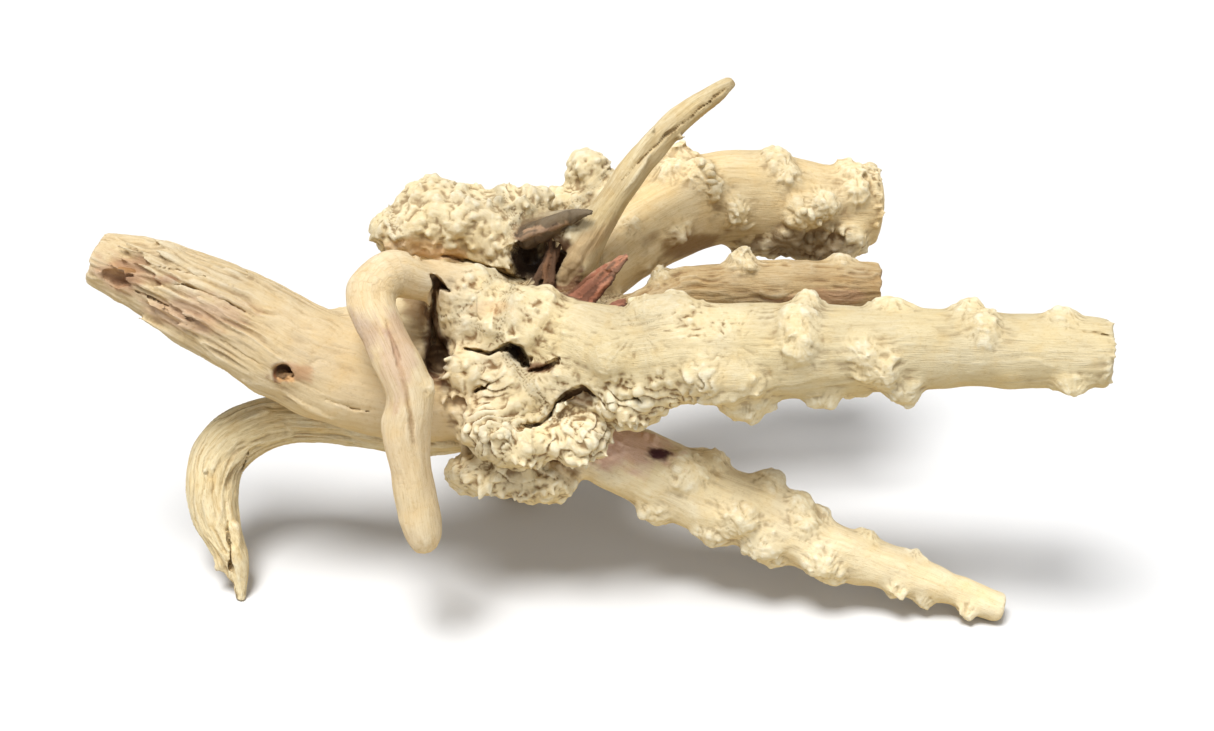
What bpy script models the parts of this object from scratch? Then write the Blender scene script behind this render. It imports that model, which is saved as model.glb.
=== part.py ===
"""A piece of spider wood: the dry, pale root crown of a shrub, with burls, sawn limbs and bent roots.

The wood grew as one piece. It is modelled as one body, and then parted by thin saw cuts at its main
forks, so that each limb, root and twig is a solid of its own.

Every limb is laid out as it is seen from the front: across and up as they would measure in the
crown's own plane, then how far away behind that plane it lies, and its radius, all in millimetres.
That plane leans back by VIEW_TILT, because the wood is looked at from a little above.
"""

import math
import random

import bmesh
import bpy
from mathutils import Matrix, Vector

# The row frame is in metres. The layout is in millimetres.
MM = 0.001
VIEW_TILT = math.radians(30)
EYE_DISTANCE = 800.0
EYE_AXIS = (2.8, -6.2)

# Where the layout's zero point lies above the floor, and to the side and back of the middle.
CROWN_PLACE = Vector((3.6, -24.5, 100.2))

# Widths of the shapes that the modifiers see.
CLAY_VOXEL = 1.5
SAW_GAP = 0.3
RING_SIDES = 20
RING_STEP = 3.0
TARGET_FACES = 7400
FLAT_ANGLE = math.radians(0.05)

# Limbs, from the crown outwards: (across, up, away, radius).
LIMBS = {
    "trunk": [
        (-30, -10, 6, 17),
        (-56, -15, 6, 21),
        (-80, -14, 5, 22),
        (-104, -8.4, 3, 22),
        (-124, 0.6, 0, 21.2),
        (-144, 11.8, -2, 20),
        (-164, 21.6, -4, 18.3),
        (-184, 31, -5, 14.8),
        (-202, 37.6, -6, 10.6),
    ],
    "front_root": [
        (-48, 20, 2, 9),
        (-60, 26, -6, 8.8),
        (-72, 28.4, -15, 9),
        (-85, 30, -25, 9.4),
        (-92.6, 21, -32, 9.8),
        (-86.4, 6, -36, 9.4),
        (-80.4, -7.2, -37, 9.8),
        (-76, -20, -36, 9.5),
        (-77.4, -32, -34, 10.3),
        (-76, -43.5, -31, 9.2),
        (-73.6, -56, -27, 8.2),
        (-71.8, -68, -24, 8.4),
        (-70.4, -76, -22, 7.2),
        (-70, -81, -21, 4),
    ],
    "hook_root": [
        (-48, -30, 26, 9),
        (-68, -34, 32, 8),
        (-90, -32, 34, 7.8),
        (-108, -29, 35, 8.6),
        (-126, -28, 36, 9.8),
        (-142, -33, 36, 11),
        (-152.2, -43.4, 34, 10.8),
        (-155, -56, 32, 10.2),
        (-153, -68, 29, 9.3),
        (-148, -80, 26, 7.4),
        (-144.6, -90, 24, 4.6),
        (-143.4, -101, 23, 2.0),
    ],
    "main_branch": [
        (-16, 4, -2, 18),
        (8, -3.2, -12, 20.4),
        (32, -0.8, -18, 20.2),
        (56, 0, -22, 19.2),
        (80, -0.4, -26, 18.4),
        (108, 0.4, -29, 17.2),
        (140, 0.8, -32, 16),
        (180, -0.8, -36, 14.8),
        (204, -1.4, -38, 14.2),
    ],
    "lower_branch": [
        (-16, -32, 14, 14),
        (4, -40.8, 14, 14.2),
        (22, -48.8, 14, 14.6),
        (42, -58, 13, 15),
        (62, -65.2, 12.5, 14),
        (82, -74.8, 12, 11.6),
        (104, -82.8, 11.5, 10),
        (128, -91.2, 11, 8.2),
        (148, -98.8, 10.5, 6.8),
        (161, -103.6, 10, 6.2),
    ],
    "rear_branch": [
        (-18, 20, 26, 16),
        (-2, 32.8, 38, 15.4),
        (16, 47.2, 48, 17.6),
        (40, 59.2, 56, 18.6),
        (64, 61.2, 62, 18.4),
        (88, 58.4, 66, 16.4),
        (110, 57.4, 70, 16.2),
    ],
    "slim_branch": [
        (-4, 12, 20, 6.5),
        (16, 19, 27, 4.6),
        (34, 24.8, 32, 8.2),
        (56, 25.6, 36, 9.6),
        (80, 26, 40, 10),
        (112, 25.2, 44, 10),
    ],
    "upright_twig": [
        (-12, 30, 20, 10),
        (-5, 43, 12, 7.6),
        (4.8, 59.2, 8, 6.6),
        (18, 77.6, 5, 6.1),
        (32, 92.4, 3, 5.6),
        (44.8, 101.6, 2, 4.6),
        (53.4, 108, 1, 2.6),
    ],
    "dark_stub": [
        (-38, 44, 24, 7),
        (-29, 47.6, 19, 6.2),
        (-19.2, 51.4, 14, 4.3),
        (-10, 54, 10, 2.8),
        (-4.6, 54.4, 8, 1.5),
    ],
    "red_splinter": [
        (-15, 14, 6, 6.5),
        (-6, 24, 4, 4.2),
        (2.4, 32.4, 3, 2.8),
        (10.6, 37.4, 2, 1.3),
    ],
    "burl_head": [
        (-36, 16, 30, 12),
        (-43, 34, 24, 11.6),
        (-52, 48, 21, 13),
        (-64, 52, 20, 13),
    ],
    "rear_root": [
        (-28, -10, 32, 17),
        (-32, -26, 52, 13.5),
        (-35, -41, 78, 11),
        (-36, -52, 98, 10),
        (-36, -60, 112, 10.5),
    ],
}

# How thick each limb is away from the viewer, as a share of its height in view.
DEPTH_SHARE = {"trunk": 0.82, "red_splinter": 0.6, "slim_branch": 0.85}

# Where each limb is sawn from the crown, in millimetres along it. Then the saw cut's middle, to the
# limb's side and towards the viewer, and its half widths in those two directions.
SAW_CUTS = {
    "trunk": (56, -5.5, 0, 34.5, 23),
    "front_root": (27, 0, 0, 11.5, 11.5),
    "hook_root": (25, 0, 0, 11, 11),
    "main_branch": (48, 0.8, 0, 26.8, 25.8),
    "lower_branch": (31, 0, 0, 20.5, 20.5),
    "rear_branch": (54, 1.6, 0, 24.5, 22.6),
    "slim_branch": (23, 0, 0, 8.6, 7.2),
    "upright_twig": (33, 0, 0, 10, 10),
    "rear_root": (36, 0, 0, 19, 19),
}

# Round burl masses of the crown: (across, up, away), then their radii the same three ways.
CROWN_LOBES = [
    ((-24, 6, 22), (30, 24, 20)),
    ((-52, 18, -2), (17, 15, 13)),
    ((-30, 9, -2), (25, 17, 18)),
    ((-30, -14, 2), (26, 20, 20)),
    ((-6, -8, -4), (22, 19, 20)),
    ((-54, -9, -10), (10, 8, 8)),
    ((-44, -30, -8), (12, 12, 12)),
    ((-33, -38, -10), (13, 9, 11)),
    ((-9, -36, -12), (12, 9, 9)),
    ((13, -20, -16), (13, 11, 11)),
    ((-62, 22, 16), (13, 12, 9)),
    ((-13, 43, 13), (7, 4, 5)),
]
UNDER_LOBES = [
    ((-46, -50, 8), (15, 8, 13)),
    ((-24, -53, 8), (14, 8, 12)),
    ((-34, -44, 12), (22, 10, 12)),
]
HEAD_LOBES = [
    ((-60, 51, 21), (25, 15, 16)),
    ((-79, 47, 18), (12, 10, 11)),
    ((-68, 60, 22), (12, 8, 11)),
    ((-43, 49, 17), (11, 12, 10)),
    ((-34, 58, 20), (11, 7.5, 9)),
    ((-24, 60.5, 22), (5, 4.5, 5)),
    ((-66, 44, 22), (14, 8, 10)),
    ((-38, 42, 15), (8, 9, 8)),
]
REAR_LOBES = [
    ((-5, 72.6, 42), (8.6, 7.4, 8)),
    ((1, 61, 42), (9, 10, 9)),
    ((-12, 57, 42), (12, 8, 9)),
    ((-17, 61, 42), (4, 4, 5)),
    ((-22, 42, 44), (15, 10, 9)),
    ((84, 47, 64), (15, 9, 10)),
    ((99, 45, 60), (8, 8, 8)),
    ((105, 55, 68), (7, 12, 12)),
]
TRUNK_LOBES = [((-90, 6.3, 10), (36, 11.6, 12))]

# Burl knobs on the limbs: millimetres along the limb, degrees round it from its upper side towards
# the viewer (from the lower side on limbs that run left), half length, half width and height.
KNOBS = {
    "main_branch": [
        (39, 6, 5, 6, 4.5),
        (50, 4, 5, 6, 5),
        (62, 122, 10, 9, 5),
        (68, 146, 9, 8, 6),
        (77, 172, 12, 9, 9.5),
        (80, 135, 7, 7, 5.5),
        (101, 10, 5.5, 6, 7),
        (99, 48, 7.5, 8, 5),
        (99, 80, 8, 8, 5),
        (107, 176, 7, 5.5, 6),
        (122, 100, 7, 7, 4.5),
        (127, 122, 9, 8, 5.5),
        (138, 162, 8, 7, 6.4),
        (134, 6, 8.5, 5, 4.4),
        (160.5, 16, 6, 6, 5),
        (166, 54, 6.5, 8, 4.6),
        (200, 150, 7, 5, 4.6),
        (197.5, 18, 6, 5, 4.4),
        (66, 250, 10, 9, 6),
        (92, 286, 9, 10, 5),
        (118, 224, 9, 9, 5),
        (146, 262, 8, 8, 5),
        (180, 300, 6, 7, 4),
        (192, 236, 6, 6, 4),
    ],
    "lower_branch": [
        (50, 172, 8, 7, 3.6),
        (56, 60, 9, 8, 3.4),
        (62, 8, 8, 7, 5.4),
        (72, 168, 8, 7, 4),
        (80, 110, 9, 7, 4.4),
        (86, 12, 6, 6, 4.6),
        (92, 140, 9, 7, 5),
        (100, 34, 6, 6, 4.4),
        (104, 62, 6, 5, 3.8),
        (100, 172, 7, 6, 3.8),
        (111, 6, 5, 5, 4),
        (116, 128, 8, 6, 5.4),
        (124, 156, 6, 5, 4.4),
        (131, 10, 4.5, 4, 3),
        (149, 148, 4.6, 4, 3.4),
        (152, 8, 4, 3.4, 2.4),
        (162, 172, 4.6, 4, 2.8),
        (180, 146, 4, 3.6, 2.6),
        (54, 262, 9, 8, 5),
        (78, 238, 8, 7, 5),
        (98, 288, 7, 7, 4.6),
        (120, 250, 6, 6, 4),
        (142, 282, 5, 4.6, 3),
        (168, 262, 4.6, 4, 2.6),
    ],
    "rear_branch": [
        (41, 78, 4, 3.6, 2.8),
        (60, 122, 5, 4, 3),
        (69, 12, 7, 7, 9),
        (72, 36, 7, 6, 4.6),
        (78, 58, 7, 7, 5),
        (82, 82, 5.6, 5, 4.6),
        (91, 112, 5, 6.4, 5.6),
        (112, 40, 6, 7, 4.4),
        (114, 62, 5.4, 6, 4.2),
        (125, 112, 7, 6, 6),
        (131, 96, 6.4, 6, 6.6),
        (146, 40, 7, 8, 4.6),
        (120, 150, 7, 6, 5),
        (60, 300, 7, 7, 5),
        (84, 260, 8, 8, 5),
        (104, 220, 7, 7, 5),
        (120, 300, 7, 7, 5),
        (138, 250, 7, 7, 5),
    ],
    "slim_branch": [
        (34, 4, 4, 4, 4.6),
        (67, 18, 6.4, 6, 7.4),
        (109, 6, 6, 4.6, 4),
        (80, 250, 6, 5, 4),
        (50, 210, 5, 4.4, 3.4),
    ],
    "front_root": [(98, 20, 3, 3, 2.6)],
}

# Hollows: (across, up, away), then radii the same three ways.
HOLLOWS = {
    "knot_hole": ((-126.6, -8.6, -17), (4.6, 3.4, 7)),
    "end_rot": ((-192, 29, -13.5), (9, 4.4, 4.4)),
    "left_cave": ((-66, 1, -13), (7.5, 12, 9)),
    "left_notch": ((-63, 19, -13), (5, 3, 7)),
    "heart_hollow": ((-26, 38, 12), (9.5, 8.5, 17)),
    "front_slit": ((-31, -3.4, -20), (4.4, 1.7, 7)),
    "front_arch": ((-7, -21.5, -24.5), (7.5, 6.5, 6)),
}

# The bare wood's colour on each piece.
WOOD_TONES = {
    "crown": (0.78, 0.66, 0.45),
    "trunk": (0.66, 0.52, 0.34),
    "front_root": (0.70, 0.56, 0.38),
    "hook_root": (0.70, 0.58, 0.38),
    "main_branch": (0.82, 0.71, 0.50),
    "lower_branch": (0.76, 0.63, 0.44),
    "rear_branch": (0.74, 0.61, 0.39),
    "slim_branch": (0.62, 0.48, 0.31),
    "upright_twig": (0.70, 0.59, 0.38),
    "rear_root": (0.66, 0.53, 0.35),
}

# Nodules that roughen each burl mass: their radius and how deep each is sunk, as a share of it.
NODULE_RADIUS = 4.2
NODULE_SUNK = 0.42
NODULE_COVER = 0.62


def clear_scene():
    for thing in list(bpy.data.objects):
        bpy.data.objects.remove(thing)


def place(across, up, away):
    """The row-frame point, in metres, of a point of the layout."""
    spread = 1 + away / EYE_DISTANCE
    flat_across = EYE_AXIS[0] + (across - EYE_AXIS[0]) * spread
    flat_up = EYE_AXIS[1] + (up - EYE_AXIS[1]) * spread
    back = flat_up * math.sin(VIEW_TILT) + away * math.cos(VIEW_TILT)
    height = flat_up * math.cos(VIEW_TILT) - away * math.sin(VIEW_TILT)
    return (Vector((flat_across, back, height)) + CROWN_PLACE) * MM


TO_VIEWER = Vector((0, -math.cos(VIEW_TILT), math.sin(VIEW_TILT)))
VIEW_UP = Vector((0, math.sin(VIEW_TILT), math.cos(VIEW_TILT)))
VIEW_AXES = Matrix((Vector((1, 0, 0)), VIEW_UP, TO_VIEWER)).transposed()


def spline(rows):
    """Points and radii about every RING_STEP along a Catmull-Rom curve through the rows."""
    knots = [(place(a, u, w), r * (1 + w / EYE_DISTANCE) * MM) for a, u, w, r in rows]
    ends = [knots[0]] + knots + [knots[-1]]
    points, radii = [], []
    for before, start, stop, after in zip(ends, ends[1:], ends[2:], ends[3:]):
        steps = max(2, round((stop[0] - start[0]).length / (RING_STEP * MM)))
        for i in range(steps):
            t = i / steps
            weights = (
                (-t + 2 * t**2 - t**3) / 2,
                (2 - 5 * t**2 + 3 * t**3) / 2,
                (t + 4 * t**2 - 3 * t**3) / 2,
                (-(t**2) + t**3) / 2,
            )
            group = (before, start, stop, after)
            points.append(sum((w * g[0] for w, g in zip(weights, group)), Vector()))
            radii.append(sum(w * g[1] for w, g in zip(weights, group)))
    return points + [knots[-1][0]], radii + [knots[-1][1]]


class Limb:
    """A limb's centre line, with directions across it at every ring."""

    def __init__(self, name):
        self.points, self.radii = spline(LIMBS[name])
        self.depth = DEPTH_SHARE.get(name, 1.0)
        self.tangents = []
        for i in range(len(self.points)):
            ahead = self.points[min(i + 1, len(self.points) - 1)]
            behind = self.points[max(i - 1, 0)]
            self.tangents.append((ahead - behind).normalized())
        self.along = [0.0]
        for start, stop in zip(self.points, self.points[1:]):
            self.along.append(self.along[-1] + (stop - start).length / MM)
        self.sides, self.fronts = [], []
        for tangent in self.tangents:
            front = (TO_VIEWER - TO_VIEWER.dot(tangent) * tangent).normalized()
            self.fronts.append(front)
            self.sides.append(front.cross(tangent))

    def ring(self, distance):
        """The number of the ring nearest to that many millimetres along the limb."""
        return min(range(len(self.along)), key=lambda i: abs(self.along[i] - distance))

    def outward(self, i, degrees):
        """The direction out of the limb at ring i, turned from its side towards the viewer."""
        turn = math.radians(degrees)
        return self.sides[i] * math.cos(turn) + self.fronts[i] * math.sin(turn)

    def radius(self, i, degrees):
        """The limb's own radius at ring i in that direction."""
        turn = math.radians(degrees)
        return self.radii[i] / math.hypot(math.cos(turn), math.sin(turn) / self.depth)


def add_limb(clay, limb):
    """Lofts the limb into the clay as a closed tube with round ends."""
    rings = []
    for i, centre in enumerate(limb.points):
        ring = []
        for k in range(RING_SIDES):
            degrees = 360 * k / RING_SIDES
            ring.append(clay.verts.new(centre + limb.outward(i, degrees) * limb.radius(i, degrees)))
        rings.append(ring)
    for lower, upper in zip(rings, rings[1:]):
        for k in range(RING_SIDES):
            j = (k + 1) % RING_SIDES
            clay.faces.new((lower[k], lower[j], upper[j], upper[k]))
    clay.faces.new(rings[0][::-1])
    clay.faces.new(rings[-1])


def add_lump(clay, centre, axes, radii, detail=2):
    """Adds an ellipsoid to the clay: axes are three unit vectors, radii are in millimetres."""
    made = bmesh.ops.create_icosphere(clay, subdivisions=detail, radius=1)
    frame = Matrix(axes).transposed().to_4x4()
    stretch = Matrix.Diagonal((*(r * MM for r in radii), 1))
    bmesh.ops.transform(
        clay,
        matrix=Matrix.Translation(centre) @ frame @ stretch,
        verts=made["verts"],
    )


def add_nodules(clay, centre, axes, radii, dice):
    """Scatters nodules evenly over an ellipsoid, for the popcorn skin of a burl."""
    mean = sum(radii) / 3
    count = max(6, round(NODULE_COVER * 4 * mean**2 / NODULE_RADIUS**2))
    golden = math.pi * (3 - math.sqrt(5))
    frame = Matrix(axes).transposed()
    for i in range(count):
        height = 1 - 2 * (i + 0.5) / count
        flat = math.sqrt(1 - height**2)
        turn = golden * i + dice.uniform(-0.3, 0.3)
        spot = Vector((flat * math.cos(turn), flat * math.sin(turn), height))
        size = min(NODULE_RADIUS, 0.5 * min(radii)) * dice.uniform(0.7, 1.15)
        reach = Vector(max(r - size * NODULE_SUNK, 0.5) * s * MM for r, s in zip(radii, spot))
        add_lump(clay, centre + frame @ reach, axes, (size,) * 3, detail=1)


def add_lobe(clay, lobe, dice):
    """Adds a burl mass of the layout, with its nodules."""
    centre = place(*lobe[0])
    axes = [VIEW_AXES.col[k] for k in range(3)]
    add_lump(clay, centre, axes, lobe[1], detail=3)
    add_nodules(clay, centre, axes, lobe[1], dice)


def add_knob(clay, limb, knob, dice):
    """Adds a burl knob to a limb, half sunk in it, with its nodules."""
    distance, degrees, half_length, half_width, height = knob
    i = limb.ring(distance)
    outward = limb.outward(i, degrees)
    sunk = 0.5 * min(half_length, half_width)
    centre = limb.points[i] + outward * (limb.radius(i, degrees) - sunk * MM)
    axes = [limb.tangents[i], outward.cross(limb.tangents[i]), outward]
    radii = (half_length, half_width, height + sunk)
    add_lump(clay, centre, axes, radii)
    add_nodules(clay, centre, axes, radii, dice)


def new_object(name, mesh_maker):
    """A mesh object filled by mesh_maker, which gets an empty bmesh."""
    shape = bmesh.new()
    mesh_maker(shape)
    mesh = bpy.data.meshes.new(name)
    shape.to_mesh(mesh)
    shape.free()
    thing = bpy.data.objects.new(name, mesh)
    bpy.context.scene.collection.objects.link(thing)
    return thing


def fill_clay(clay):
    """All that grew: limbs, burl masses and knobs, still as shapes that run into each other."""
    dice = random.Random(7)
    for name in LIMBS:
        add_limb(clay, limbs[name])
    for lobe in CROWN_LOBES + UNDER_LOBES + HEAD_LOBES + REAR_LOBES:
        add_lobe(clay, lobe, dice)
    for (centre, radii) in TRUNK_LOBES:
        axes = [VIEW_AXES.col[k] for k in range(3)]
        add_lump(clay, place(*centre), axes, radii, detail=3)
    for name, knobs in KNOBS.items():
        for knob in knobs:
            add_knob(clay, limbs[name], knob, dice)


def fill_hollows(cutter):
    for centre, radii in HOLLOWS.values():
        add_lump(cutter, place(*centre), [VIEW_AXES.col[k] for k in range(3)], radii)


def fill_floor(cutter):
    """A block whose top is the floor, which flattens the feet."""
    size = 0.6
    bmesh.ops.create_cube(cutter, size=size, matrix=Matrix.Translation((0, 0, -size / 2)))


def fill_saw_cuts(cutter):
    """A thin oval disc across each limb at its fork."""
    for name, (distance, side, front, half_side, half_front) in SAW_CUTS.items():
        limb = limbs[name]
        i = limb.ring(distance)
        middle = limb.points[i] + (limb.sides[i] * side + limb.fronts[i] * front) * MM
        axes = [limb.sides[i], limb.fronts[i], limb.sides[i].cross(limb.fronts[i])]
        made = bmesh.ops.create_cone(
            cutter, cap_ends=True, segments=28, radius1=1, radius2=1, depth=1
        )
        stretch = Matrix.Diagonal((half_side * MM, half_front * MM, SAW_GAP * MM, 1))
        frame = Matrix(axes).transposed().to_4x4()
        bmesh.ops.transform(
            cutter,
            matrix=Matrix.Translation(middle) @ frame @ stretch,
            verts=made["verts"],
        )


def hide_cutter(cutter):
    cutter.hide_render = True
    cutter.display_type = "WIRE"


def cut_with(thing, cutter):
    hide_cutter(cutter)
    modifier = thing.modifiers.new(cutter.name, "BOOLEAN")
    modifier.operation = "DIFFERENCE"
    modifier.object = cutter


def evaluated_mesh(thing):
    graph = bpy.context.evaluated_depsgraph_get()
    return bpy.data.meshes.new_from_object(thing.evaluated_get(graph), depsgraph=graph)


def islands(shape):
    """The separate bodies of a bmesh, as lists of faces."""
    left = set(shape.faces)
    found = []
    while left:
        start = left.pop()
        body, edge_of_body = [start], [start]
        while edge_of_body:
            face = edge_of_body.pop()
            for edge in face.edges:
                for other in edge.link_faces:
                    if other in left:
                        left.remove(other)
                        body.append(other)
                        edge_of_body.append(other)
        found.append(body)
    return found


def wood_material(name, colour, roughness):
    material = bpy.data.materials.new(name)
    material.use_nodes = True
    shader = material.node_tree.nodes["Principled BSDF"]
    shader.inputs["Base Color"].default_value = (*colour, 1)
    shader.inputs["Roughness"].default_value = roughness
    shader.inputs["Metallic"].default_value = 0
    return material


def name_of_body(body):
    """The limb that a body is, or the crown: the limb whose tip lies on that body."""
    points = [face.calc_center_median() for face in body]
    best, name = 4 * MM, "crown"
    for limb_name in SAW_CUTS:
        limb = limbs[limb_name]
        i = limb.ring(limb.along[-1] - 2 * limb.radii[-1] / MM)
        probe = limb.points[i]
        reach = min((p - probe).length for p in points) - limb.radii[i]
        if reach < best:
            best, name = reach, limb_name
    return name


def part_the_wood(mesh):
    """Turns each body of the sawn mesh into a named object with its own material."""
    whole = bmesh.new()
    whole.from_mesh(mesh)
    for body in islands(whole):
        name = name_of_body(body)
        piece = bmesh.new()
        copies = {}
        for face in body:
            for vert in face.verts:
                if vert not in copies:
                    copies[vert] = piece.verts.new(vert.co)
            piece.faces.new([copies[vert] for vert in face.verts])
        bmesh.ops.dissolve_limit(piece, angle_limit=FLAT_ANGLE, verts=piece.verts, edges=piece.edges)
        bmesh.ops.triangulate(piece, faces=piece.faces)
        made = bpy.data.meshes.new(name)
        piece.to_mesh(made)
        piece.free()
        made.shade_smooth()
        made.set_sharp_from_angle(angle=math.radians(60))
        made.materials.append(wood_material(f"{name}_wood", WOOD_TONES[name], 0.85))
        bpy.context.scene.collection.objects.link(bpy.data.objects.new(name, made))
    whole.free()


clear_scene()
limbs = {name: Limb(name) for name in LIMBS}
clay = new_object("clay", fill_clay)
hide_cutter(clay)

voxels = clay.modifiers.new("grow_together", "REMESH")
voxels.mode = "VOXEL"
voxels.voxel_size = CLAY_VOXEL * MM
smooth = clay.modifiers.new("soften", "SMOOTH")
smooth.factor = 0.5
smooth.iterations = 2
fewer = clay.modifiers.new("fewer_faces", "DECIMATE")
faces_grown = len(evaluated_mesh(clay).polygons) * 2
fewer.ratio = min(1.0, TARGET_FACES / faces_grown)

cut_with(clay, new_object("hollows", fill_hollows))
cut_with(clay, new_object("floor", fill_floor))
cut_with(clay, new_object("saw_cuts", fill_saw_cuts))
part_the_wood(evaluated_mesh(clay))
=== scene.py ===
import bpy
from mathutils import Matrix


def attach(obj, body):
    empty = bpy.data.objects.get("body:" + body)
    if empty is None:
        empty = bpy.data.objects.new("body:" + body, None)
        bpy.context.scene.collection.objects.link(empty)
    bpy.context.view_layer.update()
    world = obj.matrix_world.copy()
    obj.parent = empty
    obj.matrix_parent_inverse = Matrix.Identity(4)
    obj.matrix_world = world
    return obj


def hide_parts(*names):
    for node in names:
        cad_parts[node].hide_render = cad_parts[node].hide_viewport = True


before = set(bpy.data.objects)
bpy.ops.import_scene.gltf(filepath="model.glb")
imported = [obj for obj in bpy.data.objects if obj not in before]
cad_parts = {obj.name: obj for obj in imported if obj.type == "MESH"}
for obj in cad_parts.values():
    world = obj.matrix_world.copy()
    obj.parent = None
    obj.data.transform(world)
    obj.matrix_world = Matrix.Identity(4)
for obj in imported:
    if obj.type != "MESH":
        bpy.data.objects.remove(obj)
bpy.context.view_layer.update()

"""The looks of a piece of spider wood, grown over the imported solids.

The wood is built again from the solids' own limbs, burls, knobs and hollows, in fine mesh: first a
coarse clay, then small nodules on its burls, then the grain, splits and frayed ends. It is parted at
the same forks as the solids, and each piece stands for the node of its own name. Lengths are in
millimetres until a mesh is made.
"""

import math
import random

import bmesh
import bpy
import numpy as np
import openvdb
from mathutils import Vector
from mathutils.bvhtree import BVHTree

MM = 0.001

# How far the view looks down, how far off the eye is and the spot (across, up) that it looks at, and
# where the layout's middle stands in the row's frame.
VIEW_TILT = math.radians(30)
EYE_DISTANCE = 800.0
EYE_AXIS = (2.8, -6.2)
CROWN_PLACE = (3.6, -24.5, 100.2)

# The photograph's size in pixels, how large one is at the layout's middle, and the camera's sensor.
PHOTO_SIZE = (1214, 731)
MM_PER_PIXEL = 0.4
SENSOR_WIDTH = 36

# Light: the sun's and the fill lamp's power, and how bright the sky is.
KEY_POWER = 4.1
FILL_POWER = 2.8
SKY_POWER = 0.37

# Seeds of the nodules, of all that grows on the surface, and of the strands.
NODULE_SEED = 7
GROWTH_SEED = 11
STRAND_SEED = 5

# The cell size of the coarse and the fine clay, and the limbs' rings before they are clay.
CLAY_VOXEL = 1.1
FINE_VOXEL = 0.62
RING_STEP = 3.0
RING_SIDES = 40

# Medium nodules: their radius, how far they are sunk, on limbs' knobs too, and how much they cover.
NODULE_RADIUS = 4.2
NODULE_SUNK = 0.42
KNOB_NODULE_SUNK = 0.56
NODULE_COVER = 0.62

# How round the creases are at a knob's foot, between the burl masses and at the popcorn's foot.
KNOB_FOOT = 4.4
CREASE_RADIUS = 2.6
POPCORN_FOOT = 1.2

# How many triangles the whole piece of wood has.
WANTED_FACES = 560000

# The crown's upper part, above this height as seen, is a piece of its own.
HEAD_PARTS_AT = 33.0

# Popcorn on the burls: cell size, least and most half width, height as a share of it, and how
# many cells have one. Then how far it leans at random, and how deep it is sunk.
POPCORN = [
    (5.6, 1.5, 2.5, 1.25, 0.75),
    (3.2, 0.8, 1.3, 1.5, 0.35),
]
POPCORN_LEAN = 0.35
POPCORN_SUNK = 0.25

# How far apart the limbs lie in the straight coordinates, and where along the trunk its grain starts
# to stand out and is worn deepest.
LIMB_SHIFT = 37.0
TRUNK_SOUND = 72.0
TRUNK_WORN = 122.0

# Scallops: how far apart they are, and how far they stand out. Pleats: how wide they are, how long,
# and how high they stand.
SCALLOP_STEP = 4.4
SCALLOP_LIFT = 1.6
PLEAT_WIDTH = 2.5
PLEAT_LENGTH = 9.0
PLEAT_LIFT = 1.5

# Relief of the limbs' grain: the size of its streaks and of its wide swells (along, side, front), and
# how high they stand.
STREAK_SIZE = (26, 2.6, 2.6)
STREAK_LIFT = 1.5
WIDE_SIZE = (40, 7, 7)
WIDE_LIFT = 1.1

# Relief of the burls: the size of its swells, wrinkles, flow lines and fine wrinkles, and how high
# they stand.
SWELL_SIZE = 9.0
SWELL_LIFT = 0.9
WRINKLE_SIZE = 5.6
WRINKLE_LIFT = 1.5
FLOW_SIZE = (13, 3.6, 3.6)
FLOW_LIFT = 0.9
FINE_SIZE = 2.4
FINE_LIFT = 0.4

# How strongly the grain's streaks and lines show on each piece.
GRAIN_SHOWS = {
    "trunk": 0.5,
    "slim_branch": 1.0,
    "hook_root": 0.95,
    "upright_twig": 0.8,
    "front_root": 0.6,
    "main_branch": 0.4,
    "rear_branch": 0.6,
    "lower_branch": 0.45,
    "rear_root": 0.5,
    "crown": 0.45,
    "burl_head": 0.6,
}

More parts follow.
